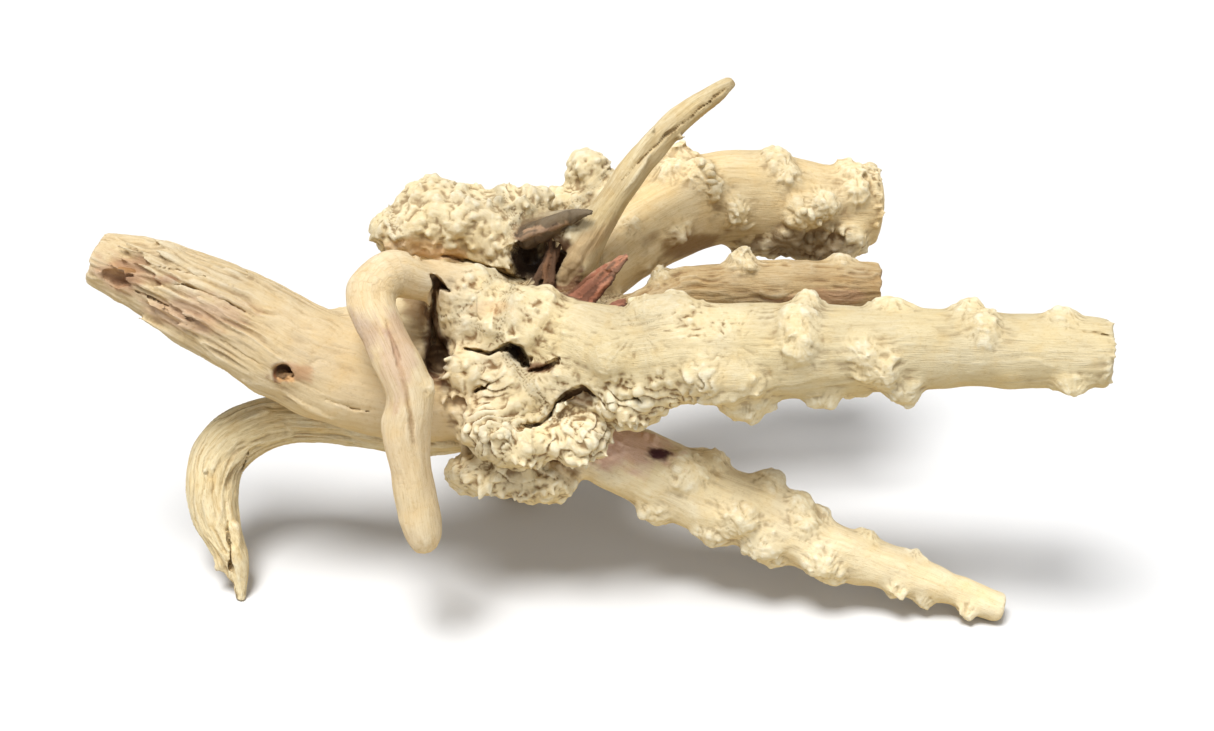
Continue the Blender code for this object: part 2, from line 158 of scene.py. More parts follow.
# Limbs, from the crown outwards: (across, up, away, radius).
LIMBS = {
    "trunk": [
        (-30, -10, 6, 17), (-56, -15, 6, 21), (-80, -14, 5, 22), (-104, -8.4, 3, 22),
        (-124, 0.6, 0, 21.2), (-144, 11.8, -2, 20), (-164, 21.6, -4, 18.3), (-184, 31, -5, 14.8),
        (-202, 37.6, -6, 10.6),
    ],
    "front_root": [
        (-48, 20, 2, 9), (-60, 26, -6, 8.8), (-72, 28.4, -15, 9), (-85, 30, -25, 9.4),
        (-92.6, 21, -32, 9.8), (-86.4, 6, -36, 9.4), (-80.4, -7.2, -37, 9.8), (-76, -20, -36, 9.5),
        (-77.4, -32, -34, 10.3), (-76, -43.5, -31, 9.2), (-73.6, -56, -27, 8.2), (-71.8, -68, -24, 8.4),
        (-70.4, -76, -22, 7.2), (-70, -81, -21, 4),
    ],
    "hook_root": [
        (-48, -30, 26, 9), (-68, -34, 32, 8), (-90, -32, 34, 7.8), (-108, -29, 35, 8.6),
        (-126, -28, 36, 9.8), (-142, -33, 36, 11), (-152.2, -43.4, 34, 10.8), (-155, -56, 32, 10.2),
        (-153, -68, 29, 9.3), (-148, -80, 26, 7.4), (-144.6, -90, 24, 4.6), (-143.4, -101, 23, 2.0),
    ],
    "main_branch": [
        (-16, 4, -2, 18), (8, -3.2, -12, 20.4), (32, -0.8, -18, 20.2), (56, 0, -22, 19.2),
        (80, -0.4, -26, 18.4), (108, 0.4, -29, 17.2), (140, 0.8, -32, 16), (180, -0.8, -36, 14.8),
        (204, -1.4, -38, 14.2),
    ],
    "lower_branch": [
        (-16, -32, 14, 14), (4, -40.8, 14, 14.2), (22, -48.8, 14, 14.6), (42, -58, 13, 15),
        (62, -65.2, 12.5, 14), (82, -74.8, 12, 11.6), (104, -82.8, 11.5, 10), (128, -91.2, 11, 8.2),
        (148, -98.8, 10.5, 6.8), (161, -103.6, 10, 6.2),
    ],
    "rear_branch": [
        (-18, 20, 26, 16), (-2, 32.8, 38, 15.4), (16, 47.2, 48, 17.6), (40, 59.2, 56, 18.6),
        (64, 61.2, 62, 18.4), (88, 58.4, 66, 16.4), (110, 57.4, 70, 16.2),
    ],
    "slim_branch": [
        (-4, 12, 20, 6.5), (16, 19, 27, 4.6), (34, 24.8, 32, 8.2), (56, 25.6, 36, 9.6),
        (80, 26, 40, 10), (112, 25.2, 44, 10),
    ],
    "upright_twig": [
        (-12, 30, 20, 10), (-5, 43, 12, 7.6), (4.8, 59.2, 8, 6.6), (18, 77.6, 5, 6.1),
        (32, 92.4, 3, 5.6), (44.8, 101.6, 2, 4.6), (53.4, 108, 1, 2.6),
    ],
    "dark_stub": [
        (-38, 44, 24, 7), (-29, 47.6, 19, 6.2), (-19.2, 51.4, 14, 4.3), (-10, 54, 10, 2.8),
        (-4.6, 54.4, 8, 1.5),
    ],
    "red_splinter": [
        (-15, 14, 6, 6.5), (-6, 24, 4, 4.2), (2.4, 32.4, 3, 2.8), (10.6, 37.4, 2, 1.3),
    ],
    "burl_head": [
        (-36, 16, 30, 12), (-43, 34, 24, 11.6), (-52, 48, 21, 13), (-64, 52, 20, 13),
    ],
    "rear_root": [
        (-28, -10, 32, 17), (-32, -26, 52, 13.5), (-35, -41, 78, 11), (-36, -52, 98, 10),
        (-36, -60, 112, 10.5),
    ],
}

# How thick each limb is away from the viewer, as a share of its height in view.
DEPTH_SHARE = {"trunk": 0.82, "red_splinter": 0.6, "slim_branch": 0.85}

# Where each limb is sawn from the crown, in millimetres along it. Then the saw cut's middle, to the
# limb's side and towards the viewer, and its half widths in those two directions.
SAW_CUTS = {
    "trunk": (56, -5.5, 0, 34.5, 23),
    "front_root": (27, 0, 0, 11.5, 11.5),
    "hook_root": (25, 0, 0, 11, 11),
    "main_branch": (48, 0.8, 0, 26.8, 25.8),
    "lower_branch": (31, 0, 0, 20.5, 20.5),
    "rear_branch": (54, 1.6, 0, 24.5, 22.6),
    "slim_branch": (23, 0, 0, 8.6, 7.2),
    "upright_twig": (33, 0, 0, 10, 10),
    "rear_root": (36, 0, 0, 19, 19),
}

# The wood is parted this far round each saw cut's oval, between points this near to its plane.
SAW_MARGIN = 4
SAW_REACH = 12

# A spot on the crown's front, between the limbs.
CROWN_FRONT = (-30, 30, 0)

# Round burl masses of the crown: (across, up, away), then their radii the same three ways.
CROWN_LOBES = [
    ((-24, 6, 22), (30, 24, 20)), ((-52, 18, -2), (17, 15, 13)), ((-30, 9, -2), (25, 17, 18)),
    ((-30, -14, 2), (26, 20, 20)), ((-6, -8, -4), (22, 19, 20)), ((-54, -9, -10), (10, 8, 8)),
    ((-44, -30, -8), (12, 12, 12)), ((-33, -38, -10), (13, 9, 11)), ((-9, -36, -12), (12, 9, 9)),
    ((13, -20, -16), (13, 11, 11)), ((-62, 22, 16), (13, 12, 9)), ((-11, 45.6, 11), (8, 4.6, 6)),
]
UNDER_LOBES = [
    ((-46, -50, 8), (15, 8, 13)), ((-24, -53, 8), (14, 8, 12)), ((-34, -44, 12), (22, 10, 12)),
]
HEAD_LOBES = [
    ((-60, 51, 21), (25, 15, 16)), ((-79, 47, 18), (12, 10, 11)), ((-68, 60, 22), (12, 8, 11)),
    ((-43, 49, 17), (11, 12, 10)), ((-34, 58, 20), (11, 7.5, 9)), ((-24, 60.5, 22), (5, 4.5, 5)),
    ((-66, 44, 22), (14, 8, 10)), ((-38, 42, 15), (8, 9, 8)),
]
REAR_LOBES = [
    ((-5, 72.6, 42), (8.6, 7.4, 8)), ((1, 61, 42), (9, 10, 9)), ((-12, 57, 42), (12, 8, 9)),
    ((-17, 61, 42), (4, 4, 5)), ((-22, 42, 44), (15, 10, 9)), ((84, 47, 64), (15, 9, 10)),
    ((99, 45, 60), (8, 8, 8)), ((105, 55, 68), (7, 12, 12)), ((108, 66, 62), (5, 9, 9)),
    ((66, 43.5, 62), (17, 6.5, 10)), ((90, 42, 62), (17, 7.5, 9)),
]
TRUNK_LOBES = [((-90, 6.3, 10), (36, 11.6, 12))]

# Burl knobs on the limbs: millimetres along the limb, degrees round it from its upper side towards
# the viewer (from the lower side on limbs that run left), half length, half width and height.
KNOBS = {
    "main_branch": [
        (39, 6, 5, 6, 4.5), (50, 4, 5, 6, 5), (62, 122, 10, 9, 5), (68, 146, 9, 8, 6),
        (77, 172, 12, 9, 9.5), (80, 135, 7, 7, 5.5), (101, 10, 5.5, 6, 7), (99, 48, 7.5, 8, 5),
        (99, 80, 8, 8, 5), (107, 176, 7, 5.5, 6), (122, 100, 7, 7, 4.5), (127, 122, 9, 8, 5.5),
        (138, 162, 8, 7, 6.4), (134, 6, 8.5, 5, 4.4), (160.5, 16, 6, 6, 5), (166, 54, 6.5, 8, 4.6),
        (200, 150, 7, 5, 4.6), (197.5, 18, 6, 5, 4.4), (66, 250, 10, 9, 6), (92, 286, 9, 10, 5),
        (118, 224, 9, 9, 5), (146, 262, 8, 8, 5), (180, 300, 6, 7, 4), (192, 236, 6, 6, 4),
    ],
    "lower_branch": [
        (50, 172, 8, 7, 3.6), (56, 60, 9, 8, 3.4), (62, 8, 8, 7, 5.4), (72, 168, 8, 7, 4),
        (80, 110, 9, 7, 4.4), (86, 12, 6, 6, 4.6), (92, 140, 9, 7, 5), (100, 34, 6, 6, 4.4),
        (104, 62, 6, 5, 3.8), (100, 172, 7, 6, 3.8), (111, 6, 5, 5, 4), (116, 128, 8, 6, 5.4),
        (124, 156, 6, 5, 4.4), (131, 10, 4.5, 4, 3), (149, 148, 4.6, 4, 3.4), (152, 8, 4, 3.4, 2.4),
        (162, 172, 4.6, 4, 2.8), (180, 146, 4, 3.6, 2.6), (54, 262, 9, 8, 5), (78, 238, 8, 7, 5),
        (98, 288, 7, 7, 4.6), (120, 250, 6, 6, 4), (142, 282, 5, 4.6, 3), (168, 262, 4.6, 4, 2.6),
    ],
    "rear_branch": [
        (41, 78, 4, 3.6, 2.8), (60, 122, 5, 4, 3), (69, 12, 7, 7, 9), (72, 36, 7, 6, 4.6),
        (78, 58, 7, 7, 5), (79, 8, 6, 7, 8.4), (82, 82, 5.6, 5, 4.6), (91, 112, 5, 6.4, 5.6),
        (112, 40, 6, 7, 4.4), (114, 62, 5.4, 6, 4.2), (125, 112, 7, 6, 6), (131, 96, 6.4, 6, 6.6),
        (146, 40, 7, 8, 4.6), (120, 150, 7, 6, 5), (60, 300, 7, 7, 5), (84, 260, 8, 8, 5),
        (104, 220, 7, 7, 5), (120, 300, 7, 7, 5), (138, 250, 7, 7, 5), (145, 74, 5, 7, 4.4),
    ],
    "slim_branch": [
        (34, 4, 4, 4, 4.6), (67, 18, 6.4, 6, 7.4), (109, 6, 6, 4.6, 4), (80, 250, 6, 5, 4),
        (50, 210, 5, 4.4, 3.4),
    ],
    "front_root": [(98, 20, 3, 3, 2.6)],
}

# How crowded the popcorn is on each limb's knobs.
KNOB_CROWD = {"rear_branch": 0.6, "slim_branch": 0.4, "lower_branch": 0.4, "main_branch": 0.3}

# Hollows: (across, up, away), then radii the same three ways.
HOLLOWS = {
    "knot_hole": ((-126.6, -8.6, -17), (4.6, 3.4, 7)),
    "end_rot": ((-192, 29, -15), (8.4, 3.8, 3.2)),
    "left_cave": ((-66, 1, -13), (7.5, 12, 9)),
    "heart_hollow": ((-26, 38, 12), (9.5, 8.5, 17)),
    "front_slit": ((-31, -3.4, -20), (4.4, 1.7, 7)),
    "front_arch": ((-7, -21.5, -24.5), (7.5, 6.5, 6)),
}

# Places with wrinkles but no lump: (across, up, away), radii the same three ways, and how crowded.
WRINKLES = [
    ((14, -17, -22), (22, 9, 14), 0.35), ((34, -15, -30), (16, 8, 12), 0.3),
    ((42, 10, -28), (16, 8, 14), 0.2), ((-8, -34, -8), (22, 12, 16), 0.5),
]

# Places where the burl falls in overlapping scallops: middle, radii and how much.
SCALLOPS = [
    ((-38, -31, -12), (21, 12, 16), 1.0), ((14, -22, -24), (19, 9, 14), 1.0),
    ((-6, -36, -16), (17, 12, 13), 0.9), ((-36, -53, 6), (28, 9, 20), 0.8),
    ((-48, -12, -16), (15, 9, 12), 0.5), ((38, -14, -34), (12, 9, 10), 0.6),
    ((-34, 36, 8), (7, 7, 10), 0.5),
]

# Places from which pleats and scallops spread over the burl: the middle as seen (across, up), how
# far they reach and how strong they are.
FANS = [
    ((-38, 20), 30, 0.8), ((-26, 0), 34, 1.0), ((-16, -26), 24, 1.0), ((16, 8), 36, 1.0),
    ((54, 2), 27, 0.9), ((-34, -40), 26, 0.9), ((-48, -8), 14, 0.8),
]

# Smooth swellings: behind the front root, and three mounds on the main branch. Middle and radii.
SHOULDERS = [
    ((-74, 14, 12), (16, 12, 11)), ((27, 14, -22), (17, 8, 12)), ((5, -4, -27), (9, 8, 9)),
    ((55, -10, -33), (12, 10, 10)),
]

# Hollows of the dark heart, the broken-off side of the hook's tip and the depth of the cave.
FINE_HOLLOWS = [
    ((-19, 34, 10), (9, 7, 12)), ((-31, 33, 8), (4.5, 8, 12)), ((-19, 41, 14), (4.6, 3.6, 9)),
    ((-150.8, -95.4, 23), (3.6, 4.8, 10)), ((-65, -3, -6), (5, 8, 12)),
]

# Single strands of wood: their colour, if not the limb's own, and (across, up, away, radius) along
# each.
STRANDS = [
    (None, [(-152.6, -66, 27, 6.0), (-151.4, -76, 25, 5.0), (-150.4, -85.6, 24, 3.7)]),
    (None, [(-146.6, -72, 24, 4.0), (-144.6, -86, 23, 2.7), (-143.2, -99.6, 23, 1.3)]),
    (None, [(-146, -82, 21, 1.5), (-146.6, -91, 20.6, 1.0), (-146, -97, 21, 0.5)]),
    ((104, 88, 70), [(-29, 44.6, 12, 5.0), (-22, 48.6, 8, 4.3), (-14, 52.6, 4, 3.0),
                     (-8, 54.6, 1, 2.1), (-4, 55, -1, 1.1)]),
    ((204, 178, 136), [(-15, 29, 12, 3.0), (-10, 37, 9, 3.6), (-4, 45, 8, 4.2), (3, 53, 9, 4.5)]),
]

# Bundles of fibres: the colour, where they start and stop, how far apart they lie there, how thick
# they are and how many there are.
FIBRES = [
    ((124, 92, 68), (-22, 25, 8), (-18, 44, 13), 5.5, 5.0, 1.4, 11),
    ((158, 106, 84), (-12, 14, 2), (9.6, 37, -2), 6.0, 1.9, 1.3, 20),
    ((150, 100, 80), (-1, 11, 2), (11, 20, 1), 4.0, 1.6, 1.1, 10),
    ((206, 164, 116), (-131, -9.6, -10.4), (-123, -10.4, -13.4), 2.4, 2.0, 0.8, 5),
    ((134, 108, 86), (-31, 45.4, 7.6), (-12, 52.4, 1.6), 2.6, 1.5, 1.1, 12),
    ((226, 204, 160), (-147, -74, 23), (-144.6, -99, 23), 2.6, 1.7, 1.0, 8),
]

# Flakes of grain that stand up on a limb: how many, from and to along it, from and to round it.
FLAKES = {
    "trunk": [(26, 114, 164, 20, 160), (16, 140, 166, 60, 150), (3, 76, 110, 20, 60)],
    "hook_root": [(14, 70, 128, 40, 140)],
    "slim_branch": [(8, 30, 108, 10, 170)],
    "upright_twig": [(5, 30, 70, 50, 120)],
}

# Lines along which the burl's rim breaks into points: (across, up) as seen, then the way they point
# (across, up, towards the viewer), the points' radius and their length.
FRILLS = {
    "left_rim": ([(-67, 21), (-65, 12), (-63, 4), (-60, -4), (-62, -12)], (-1, -0.1, 0.5), 1.4, 3.6),
    "shell_foot": ([(-62, -17), (-55, -19), (-49, -22)], (-0.3, -1, 0.7), 1.2, 3.4),
    "ledge": ([(-54, -27), (-46, -34), (-38, -31), (-28, -27), (-17, -22), (-9, -15)],
              (-0.1, -1, 1.0), 1.6, 3.8),
    "arch_side": ([(1, -18), (6, -24), (12, -27), (20, -29)], (0.2, -1, 0.9), 1.5, 3.6),
    "sub_burl": ([(-33, -43), (-22, -47), (-10, -46), (0, -40), (4, -33)], (0.2, -1, 0.8), 1.5, 3.4),
    "under_foot": ([(-60, -46), (-50, -52), (-38, -58), (-26, -58), (-14, -52)],
                   (-0.1, -1, 0.4), 1.7, 3.8),
    "main_foot": ([(8, -27), (18, -30), (26, -29)], (0.1, -1, 0.5), 1.5, 3.4),
    "head_edge": ([(-31, 46), (-32, 39), (-37, 35), (-44, 34)], (0.8, -0.7, 0.7), 1.6, 4.4),
    "head_crown": ([(-88, 48), (-80, 60), (-68, 67), (-52, 65), (-40, 64), (-30, 65), (-24, 60)],
                   (-0.1, 1, 0.3), 1.5, 3.0),
    "rear_ridge": ([(29, 84), (36, 80), (42, 74), (46, 66), (46, 59)], (0.7, 0.1, 1.0), 1.7, 4.0),
    "rear_frill": ([(51, 58), (56, 53), (58, 48)], (0.8, -0.2, 1.0), 1.5, 3.8),
    "rear_end": ([(104, 72), (110, 66), (113, 58), (112, 48)], (1, 0.2, 0.4), 1.5, 3.2),
    "main_end": ([(203, 13), (206, 6), (206.4, -3), (204, -13)], (0.9, 0.1, 0.7), 1.1, 1.9),
    "main_fray": ([(204, -4), (202, -10), (200, -15)], (0.6, -0.3, 1.0), 0.9, 2.2),
    "rear_foot": ([(80, 55), (88, 52), (97, 48), (84, 44)], (0.2, -0.6, 1.0), 1.6, 3.6),
}

# Cracks in the surface as seen: (across, up, half width) along each, and how deep it goes.
CRACKS = {
    "upper": ([(-55, 1, 0.3), (-50, -0.4, 0.5), (-44, -1.8, 0.6), (-40, 0.4, 0.7), (-36, 1.6, 1.2),
               (-33, -0.6, 1.9), (-30, -5, 1.6), (-28.6, -6.4, 0.6)], 13),
    "slit": ([(-28.6, -8.4, 0.4), (-23, -7.6, 1.3), (-18, -4.6, 0.9), (-16.8, -3.4, 0.3)], 7),
    "shell": ([(-50, -16.6, 0.5), (-46, -15, 0.6), (-43.4, -12.6, 0.3)], 5),
    "under_ledge": ([(-30, -29.6, 0.3), (-25, -30.4, 0.8), (-20, -26.4, 0.9), (-17.4, -21.4, 0.5),
                     (-12.4, -18.0, 1.1), (-7, -15.4, 0.9), (-1.6, -18.6, 0.4)], 6),
    "main_fold": ([(10, -19.8, 0.3), (13.6, -18.8, 1.0), (17, -20.6, 0.3)], 4),
    "below_head": ([(-72, 36.6, 0.3), (-62, 37.6, 0.6), (-52, 35.4, 0.7), (-44, 32.6, 1.0),
                    (-36, 29.6, 1.2), (-30, 28, 0.8)], 9),
    "head_pit": ([(-75.6, 38.4, 0.7), (-75, 37.2, 0.7)], 6),
    "left_gap": ([(-68, 29.8, 0.4), (-65.4, 27.2, 1.9), (-62, 24.8, 1.1), (-59.8, 23.2, 0.3)], 9),
    "rim_gap": ([(-65.4, 27, 1.3), (-66.4, 20, 1.8), (-66.8, 12, 2.0), (-66.4, 4, 2.2)], 10),
    "root_groove": ([(-86, 12, 0.5), (-79, -10, 0.8), (-74.4, -34, 0.9), (-70, -58, 0.5)], 0.9),
    "twig": ([(9, 67.8, 0.3), (15, 74.6, 0.38), (21.3, 81, 0.4), (32, 90.2, 0.4), (40, 96.4, 0.36),
              (50, 104, 0.3)], 1.5),
    "end_split": ([(186, 8.6, 0.2), (195, 7.4, 0.3), (205.6, 5, 0.4)], 1.1),
    "trunk_upper": ([(-170, 26.4, 0.3), (-160, 24, 0.45), (-148, 18.8, 0.4), (-138, 13, 0.2)], 3),
    "trunk_top": ([(-176, 33.6, 0.2), (-160, 29.6, 0.3), (-146, 24.6, 0.2)], 2),
    "trunk_low": ([(-186, 24, 0.25), (-174, 18, 0.4), (-160, 10.4, 0.2)], 2.5),
    "trunk_side": ([(-152, 4, 0.2), (-140, -3, 0.35), (-132, -8, 0.2)], 2.5),
    "trunk_foot": ([(-112, -19, 0.2), (-100, -23, 0.35), (-92, -25, 0.2)], 2.5),
    "hook_end": ([(-150, -60, 0.15), (-149, -68, 0.2), (-148.2, -78, 0.3), (-147.6, -88, 0.5)], 4),
    "hook_bend": ([(-140, -40, 0.2), (-143, -48, 0.4), (-143.4, -58, 0.3)], 2.5),
}

# How deep the grain is cut on each limb, how far its surface swells, and its wood's colour.
LIMB_LOOKS = {
    "trunk": (0.85, 0.9, (221, 197, 156)),
    "front_root": (0.16, 1.0, (240, 213, 170)),
    "hook_root": (0.82, 0.7, (248, 229, 182)),
    "main_branch": (0.24, 1.0, (211, 195, 154)),
    "lower_branch": (0.2, 1.7, (254, 236, 194)),
    "rear_branch": (0.12, 1.1, (232, 205, 155)),
    "slim_branch": (0.75, 0.6, (184, 154, 110)),
    "upright_twig": (0.34, 0.5, (213, 190, 142)),
    "dark_stub": (0.2, 0.3, (122, 100, 80)),
    "red_splinter": (0.45, 0.3, (172, 112, 86)),
    "burl_head": (0.1, 0.8, (232, 210, 162)),
    "rear_root": (0.5, 1.2, (203, 178, 132)),
}
BURL_COLOUR = (233, 216, 175)
# Painted shade: the dark colour painted into crevices and hollows, where shade falls.
CREVICE_SHADE_COLOUR = (120, 84, 38)
# Painted highlight: the pale colour painted onto peaks and ridges, where light falls.
PEAK_HIGHLIGHT_COLOUR = (250, 243, 218)
TONE_SHARE = 0.85
# Painted shade: undersides, which face the floor, are darkened by this tint.
UNDERSIDE_SHADE_TINT = (0.84, 0.74, 0.53)
STREAK_TINT = (0.80, 0.72, 0.60)
LINE_TINT = (0.70, 0.60, 0.47)
PORE_TINT = (0.76, 0.66, 0.50)
SPECK_TINT = (1.0, 0.93, 0.80)

# How far burl colour covers a limb's own, how much the tone swells and how it drifts in red, green and
# blue. Then the depth of a fine and of a wide dip at which the painted crevice shade is darkest.
BURL_TONE_SHARE = 0.75
TONE_SWELL = 0.07
TONE_DRIFT = (0.02, 0.0, -0.06)
FINE_SHADE_DIP = 0.22
WIDE_SHADE_DIP = 0.9

# Patches of other colour: the middle as seen (across, up) or in full (across, up, away), then the
# radii across, up and away, the colour, how strong it is, and for a middle as seen how far behind
# the surface it lies.
# Some of them are painted shade: in hollows, cracks and gaps, and under the hook's bend and the rear
# branch.
PATCHES = {
    # Painted shade inside the heart hollow, over its dark brown wood.
    "heart": ((-22, 37, 12), (13, 13, 26), (92, 62, 44), 0.95, 0),
    "heart_left_shade": ((-29, 36, 24), (7, 10.5, 42), (60, 40, 28), 0.95, 0),
    "heart_foot": ((-14, 28, 8), (8, 5, 12), (126, 84, 58), 0.8, 0),
    "head_blush": ((-76, 40), (14, 5, 8), (232, 190, 142), 0.55, 0),
    "head_fold": ((-62, 38.4), (12, 3, 6), (214, 166, 116), 0.6, 1),
    "splinter": ((-4, 22, 2), (13, 9, 9), (112, 70, 50), 0.85, 0),
    "splinter_foot": ((6, 17, 3), (12, 5, 9), (140, 92, 70), 0.8, 0),
    "stub_root": ((-33, 44.6, 12), (5, 5, 8), (178, 148, 112), 0.6, 0),
    # Painted shade on the recess behind the front root's bend.
    "shoulder_shade": ((-70, 17, 5), (11, 13, 12), (146, 114, 76), 0.75, 0),
    # Painted shade in the cave under the crown's left rim and at its foot.
    "cave": ((-66, -1), (6, 12, 13), (72, 46, 30), 0.95, 4),
    "cave_foot_shade": ((-64, -8), (6, 8, 12), (104, 66, 42), 0.7, 4),
    # Painted shade in the notch and in the gap along the crown's left rim.
    "notch_shade": ((-64, 26.6), (5, 4, 7), (92, 66, 44), 0.95, 7),
    "rim_gap": ((-66.6, 13), (4, 15, 8), (108, 78, 50), 0.85, 6),
    # Painted shade deep in the upper crack.
    "crack_heart_shade": ((-34, -1), (4, 4, 9), (40, 26, 16), 0.95, 6),
    "slit_heart": ((-24, -7), (6, 2.6, 8), (120, 72, 40), 0.8, 3),
    "arch": ((-8, -19), (9, 4, 8), (96, 70, 46), 0.7, 4),
    "knot": ((-126.6, -8.6), (5, 4, 9), (74, 44, 26), 0.95, 4),
    "knot_rim": ((-124, -8.6), (8, 5, 4), (186, 120, 74), 0.5, 0),
    "lower_pink": ((8, -38), (24, 10, 12), (222, 180, 160), 0.75, 0),
    "lower_spot": ((23, -41.8), (5.4, 2.6, 5), (74, 38, 44), 1.0, 0),
    "upper_pink": ((-42, 17), (12, 3, 4), (228, 186, 140), 0.35, 0),
    "rear_shadow": ((80, 42), (24, 8, 14), (104, 76, 42), 0.7, 2),
    # Painted shade along the rear branch's lower side.
    "rear_low_shade": ((36, 42), (30, 7, 12), (134, 94, 40), 0.7, 0),
    "trunk_end": ((-190, 30), (13, 8, 9), (196, 152, 122), 0.6, 2),
    "trunk_pit": ((-190.6, 28), (8, 3.4, 6), (146, 104, 74), 0.6, 1),
    "trunk_shards": ((-174, 28), (5, 2.4, 5), (160, 108, 84), 0.55, 0),
    "trunk_pink": ((-166, 14), (26, 8, 9), (206, 168, 142), 0.5, 0),
    "trunk_violet": ((-96, 6), (14, 9, 9), (196, 164, 150), 0.5, 0),
    # Painted shade on the inside of the hook's bend.
    "hook_inner_shade": ((-128, -38.5), (12, 3.6, 8), (150, 124, 80), 0.6, 0),
    "hook_bend": ((-142, -50), (4, 9, 8), (150, 124, 80), 0.6, 0),
    "root_pink": ((-80, 4), (7, 26, 8), (206, 170, 148), 0.5, 0),
    "slim_pink": ((90, 20.6), (30, 4, 5), (190, 148, 118), 0.6, 0),
    "end_rim": ((206, 0), (4, 14, 16), (236, 214, 170), 0.6, 0),
}


def place(points):
    """Row-frame points, in millimetres, of points of the layout."""
    points = np.asarray(points, float)
    spread = 1 + points[..., 2] / EYE_DISTANCE
    across = EYE_AXIS[0] + (points[..., 0] - EYE_AXIS[0]) * spread
    up = EYE_AXIS[1] + (points[..., 1] - EYE_AXIS[1]) * spread
    back = up * math.sin(VIEW_TILT) + points[..., 2] * math.cos(VIEW_TILT)
    height = up * math.cos(VIEW_TILT) - points[..., 2] * math.sin(VIEW_TILT)
    return np.stack([across, back, height], axis=-1) + CROWN_PLACE


def layout(points):
    """Layout points (across, up, away) of row-frame points in millimetres."""
    moved = points - np.array(CROWN_PLACE)
    away = moved[..., 1] * math.cos(VIEW_TILT) - moved[..., 2] * math.sin(VIEW_TILT)
    up = moved[..., 1] * math.sin(VIEW_TILT) + moved[..., 2] * math.cos(VIEW_TILT)
    spread = 1 + away / EYE_DISTANCE
    across = EYE_AXIS[0] + (moved[..., 0] - EYE_AXIS[0]) / spread
    return np.stack([across, EYE_AXIS[1] + (up - EYE_AXIS[1]) / spread, away], axis=-1)


TO_VIEWER = np.array((0, -math.cos(VIEW_TILT), math.sin(VIEW_TILT)))
VIEW_UP = np.array((0, math.sin(VIEW_TILT), math.cos(VIEW_TILT)))
VIEW_AXES = np.array((np.array((1, 0, 0)), VIEW_UP, TO_VIEWER))


def unit(vectors):
    return vectors / np.maximum(np.linalg.norm(vectors, axis=-1, keepdims=True), 1e-9)


def linear(colour):
    """A linear colour from one of 0 to 255."""
    share = np.array(colour, float) / 255
    return np.where(share <= 0.04045, share / 12.92, ((share + 0.055) / 1.055) ** 2.4)


def smoothstep(low, high, values):
    share = np.clip((values - low) / (high - low), 0, 1)
    return share * share * (3 - 2 * share)


def hashed(cell, seed):
    """A repeatable number from 0 to 1 for each cell of whole numbers."""
    cell = cell.astype(np.uint32)
    mixed = cell[..., 0] * np.uint32(0x8DA6B343)
    mixed ^= cell[..., 1] * np.uint32(0xD8163841)
    mixed ^= cell[..., 2] * np.uint32(0xCB1AB31F)
    mixed ^= np.uint32((seed * 0x165667B1 + 0x9E3779B9) & 0xFFFFFFFF)
    mixed ^= mixed >> np.uint32(15)
    mixed *= np.uint32(0x5BD1E995)
    mixed ^= mixed >> np.uint32(13)
    mixed *= np.uint32(0xC2B2AE35)
    mixed ^= mixed >> np.uint32(16)
    return mixed.astype(np.float32) / np.float32(2**32)


def noise(points, size, seed):
    """Smooth noise from -1 to 1, whose swells are about that size, in millimetres."""
    spot = points / np.asarray(size, float) + 4096.5
    cell = np.floor(spot).astype(np.int64)
    part = (spot - cell).astype(np.float32)
    part = part * part * (3 - 2 * part)
    total = np.zeros(len(points), np.float32)
    for x in (0, 1):
        for y in (0, 1):
            for z in (0, 1):
                weight = part[:, 0] if x else 1 - part[:, 0]
                weight = weight * (part[:, 1] if y else 1 - part[:, 1])
                weight = weight * (part[:, 2] if z else 1 - part[:, 2])
                total += weight * hashed(cell + (x, y, z), seed)
    return total * 2 - 1


def noise_vectors(points, size, seed):
    """A different noise in each of the three directions."""
    return np.column_stack([noise(points, size, seed + k) for k in range(3)])


def ridges(points, size, seed):
    """Noise from 0 to 1 that is sharp along its tops."""
    return 1 - np.abs(noise(points, size, seed) + 0.35 * noise(points, np.multiply(size, 0.45), seed + 50))


class Limb:
    """A limb's centre line, with directions across it at every ring."""

    def __init__(self, name):
        rows = np.array(LIMBS[name], float)
        radii = rows[:, 3] * (1 + rows[:, 2] / EYE_DISTANCE)
        knots = np.column_stack([place(rows[:, :3]), radii])
        ends = np.vstack([knots[:1], knots, knots[-1:]])
        samples = []
        for before, start, stop, after in zip(ends, ends[1:], ends[2:], ends[3:]):
            steps = max(2, round(np.linalg.norm(stop[:3] - start[:3]) / RING_STEP))
            for t in np.arange(steps) / steps:
                samples.append(
                    (-t + 2 * t**2 - t**3) / 2 * before
                    + (2 - 5 * t**2 + 3 * t**3) / 2 * start
                    + (t + 4 * t**2 - 3 * t**3) / 2 * stop
                    + (-(t**2) + t**3) / 2 * after
                )
        samples = np.array(samples + [knots[-1]])
        self.points, self.radii = samples[:, :3], samples[:, 3]
        self.depth = DEPTH_SHARE.get(name, 1.0)
        ahead = np.vstack([self.points[1:], self.points[-1:]])
        behind = np.vstack([self.points[:1], self.points[:-1]])
        self.tangents = unit(ahead - behind)
        steps = np.linalg.norm(np.diff(self.points, axis=0), axis=1)
        self.along = np.concatenate([[0], np.cumsum(steps)])
        lean = self.tangents @ TO_VIEWER
        self.fronts = unit(TO_VIEWER - lean[:, None] * self.tangents)
        self.sides = np.cross(self.fronts, self.tangents)

    def ring(self, distance):
        """The number of the ring nearest to that many millimetres along the limb."""
        return int(np.argmin(np.abs(self.along - distance)))

    def outward(self, i, degrees):
        """The direction out of the limb at ring i, turned from its side towards the viewer."""
        turn = math.radians(degrees)
        return self.sides[i] * math.cos(turn) + self.fronts[i] * math.sin(turn)

    def radius(self, i, degrees):
        """The limb's own radius at ring i in that direction."""
        turn = math.radians(degrees)
        return self.radii[i] / math.hypot(math.cos(turn), math.sin(turn) / self.depth)


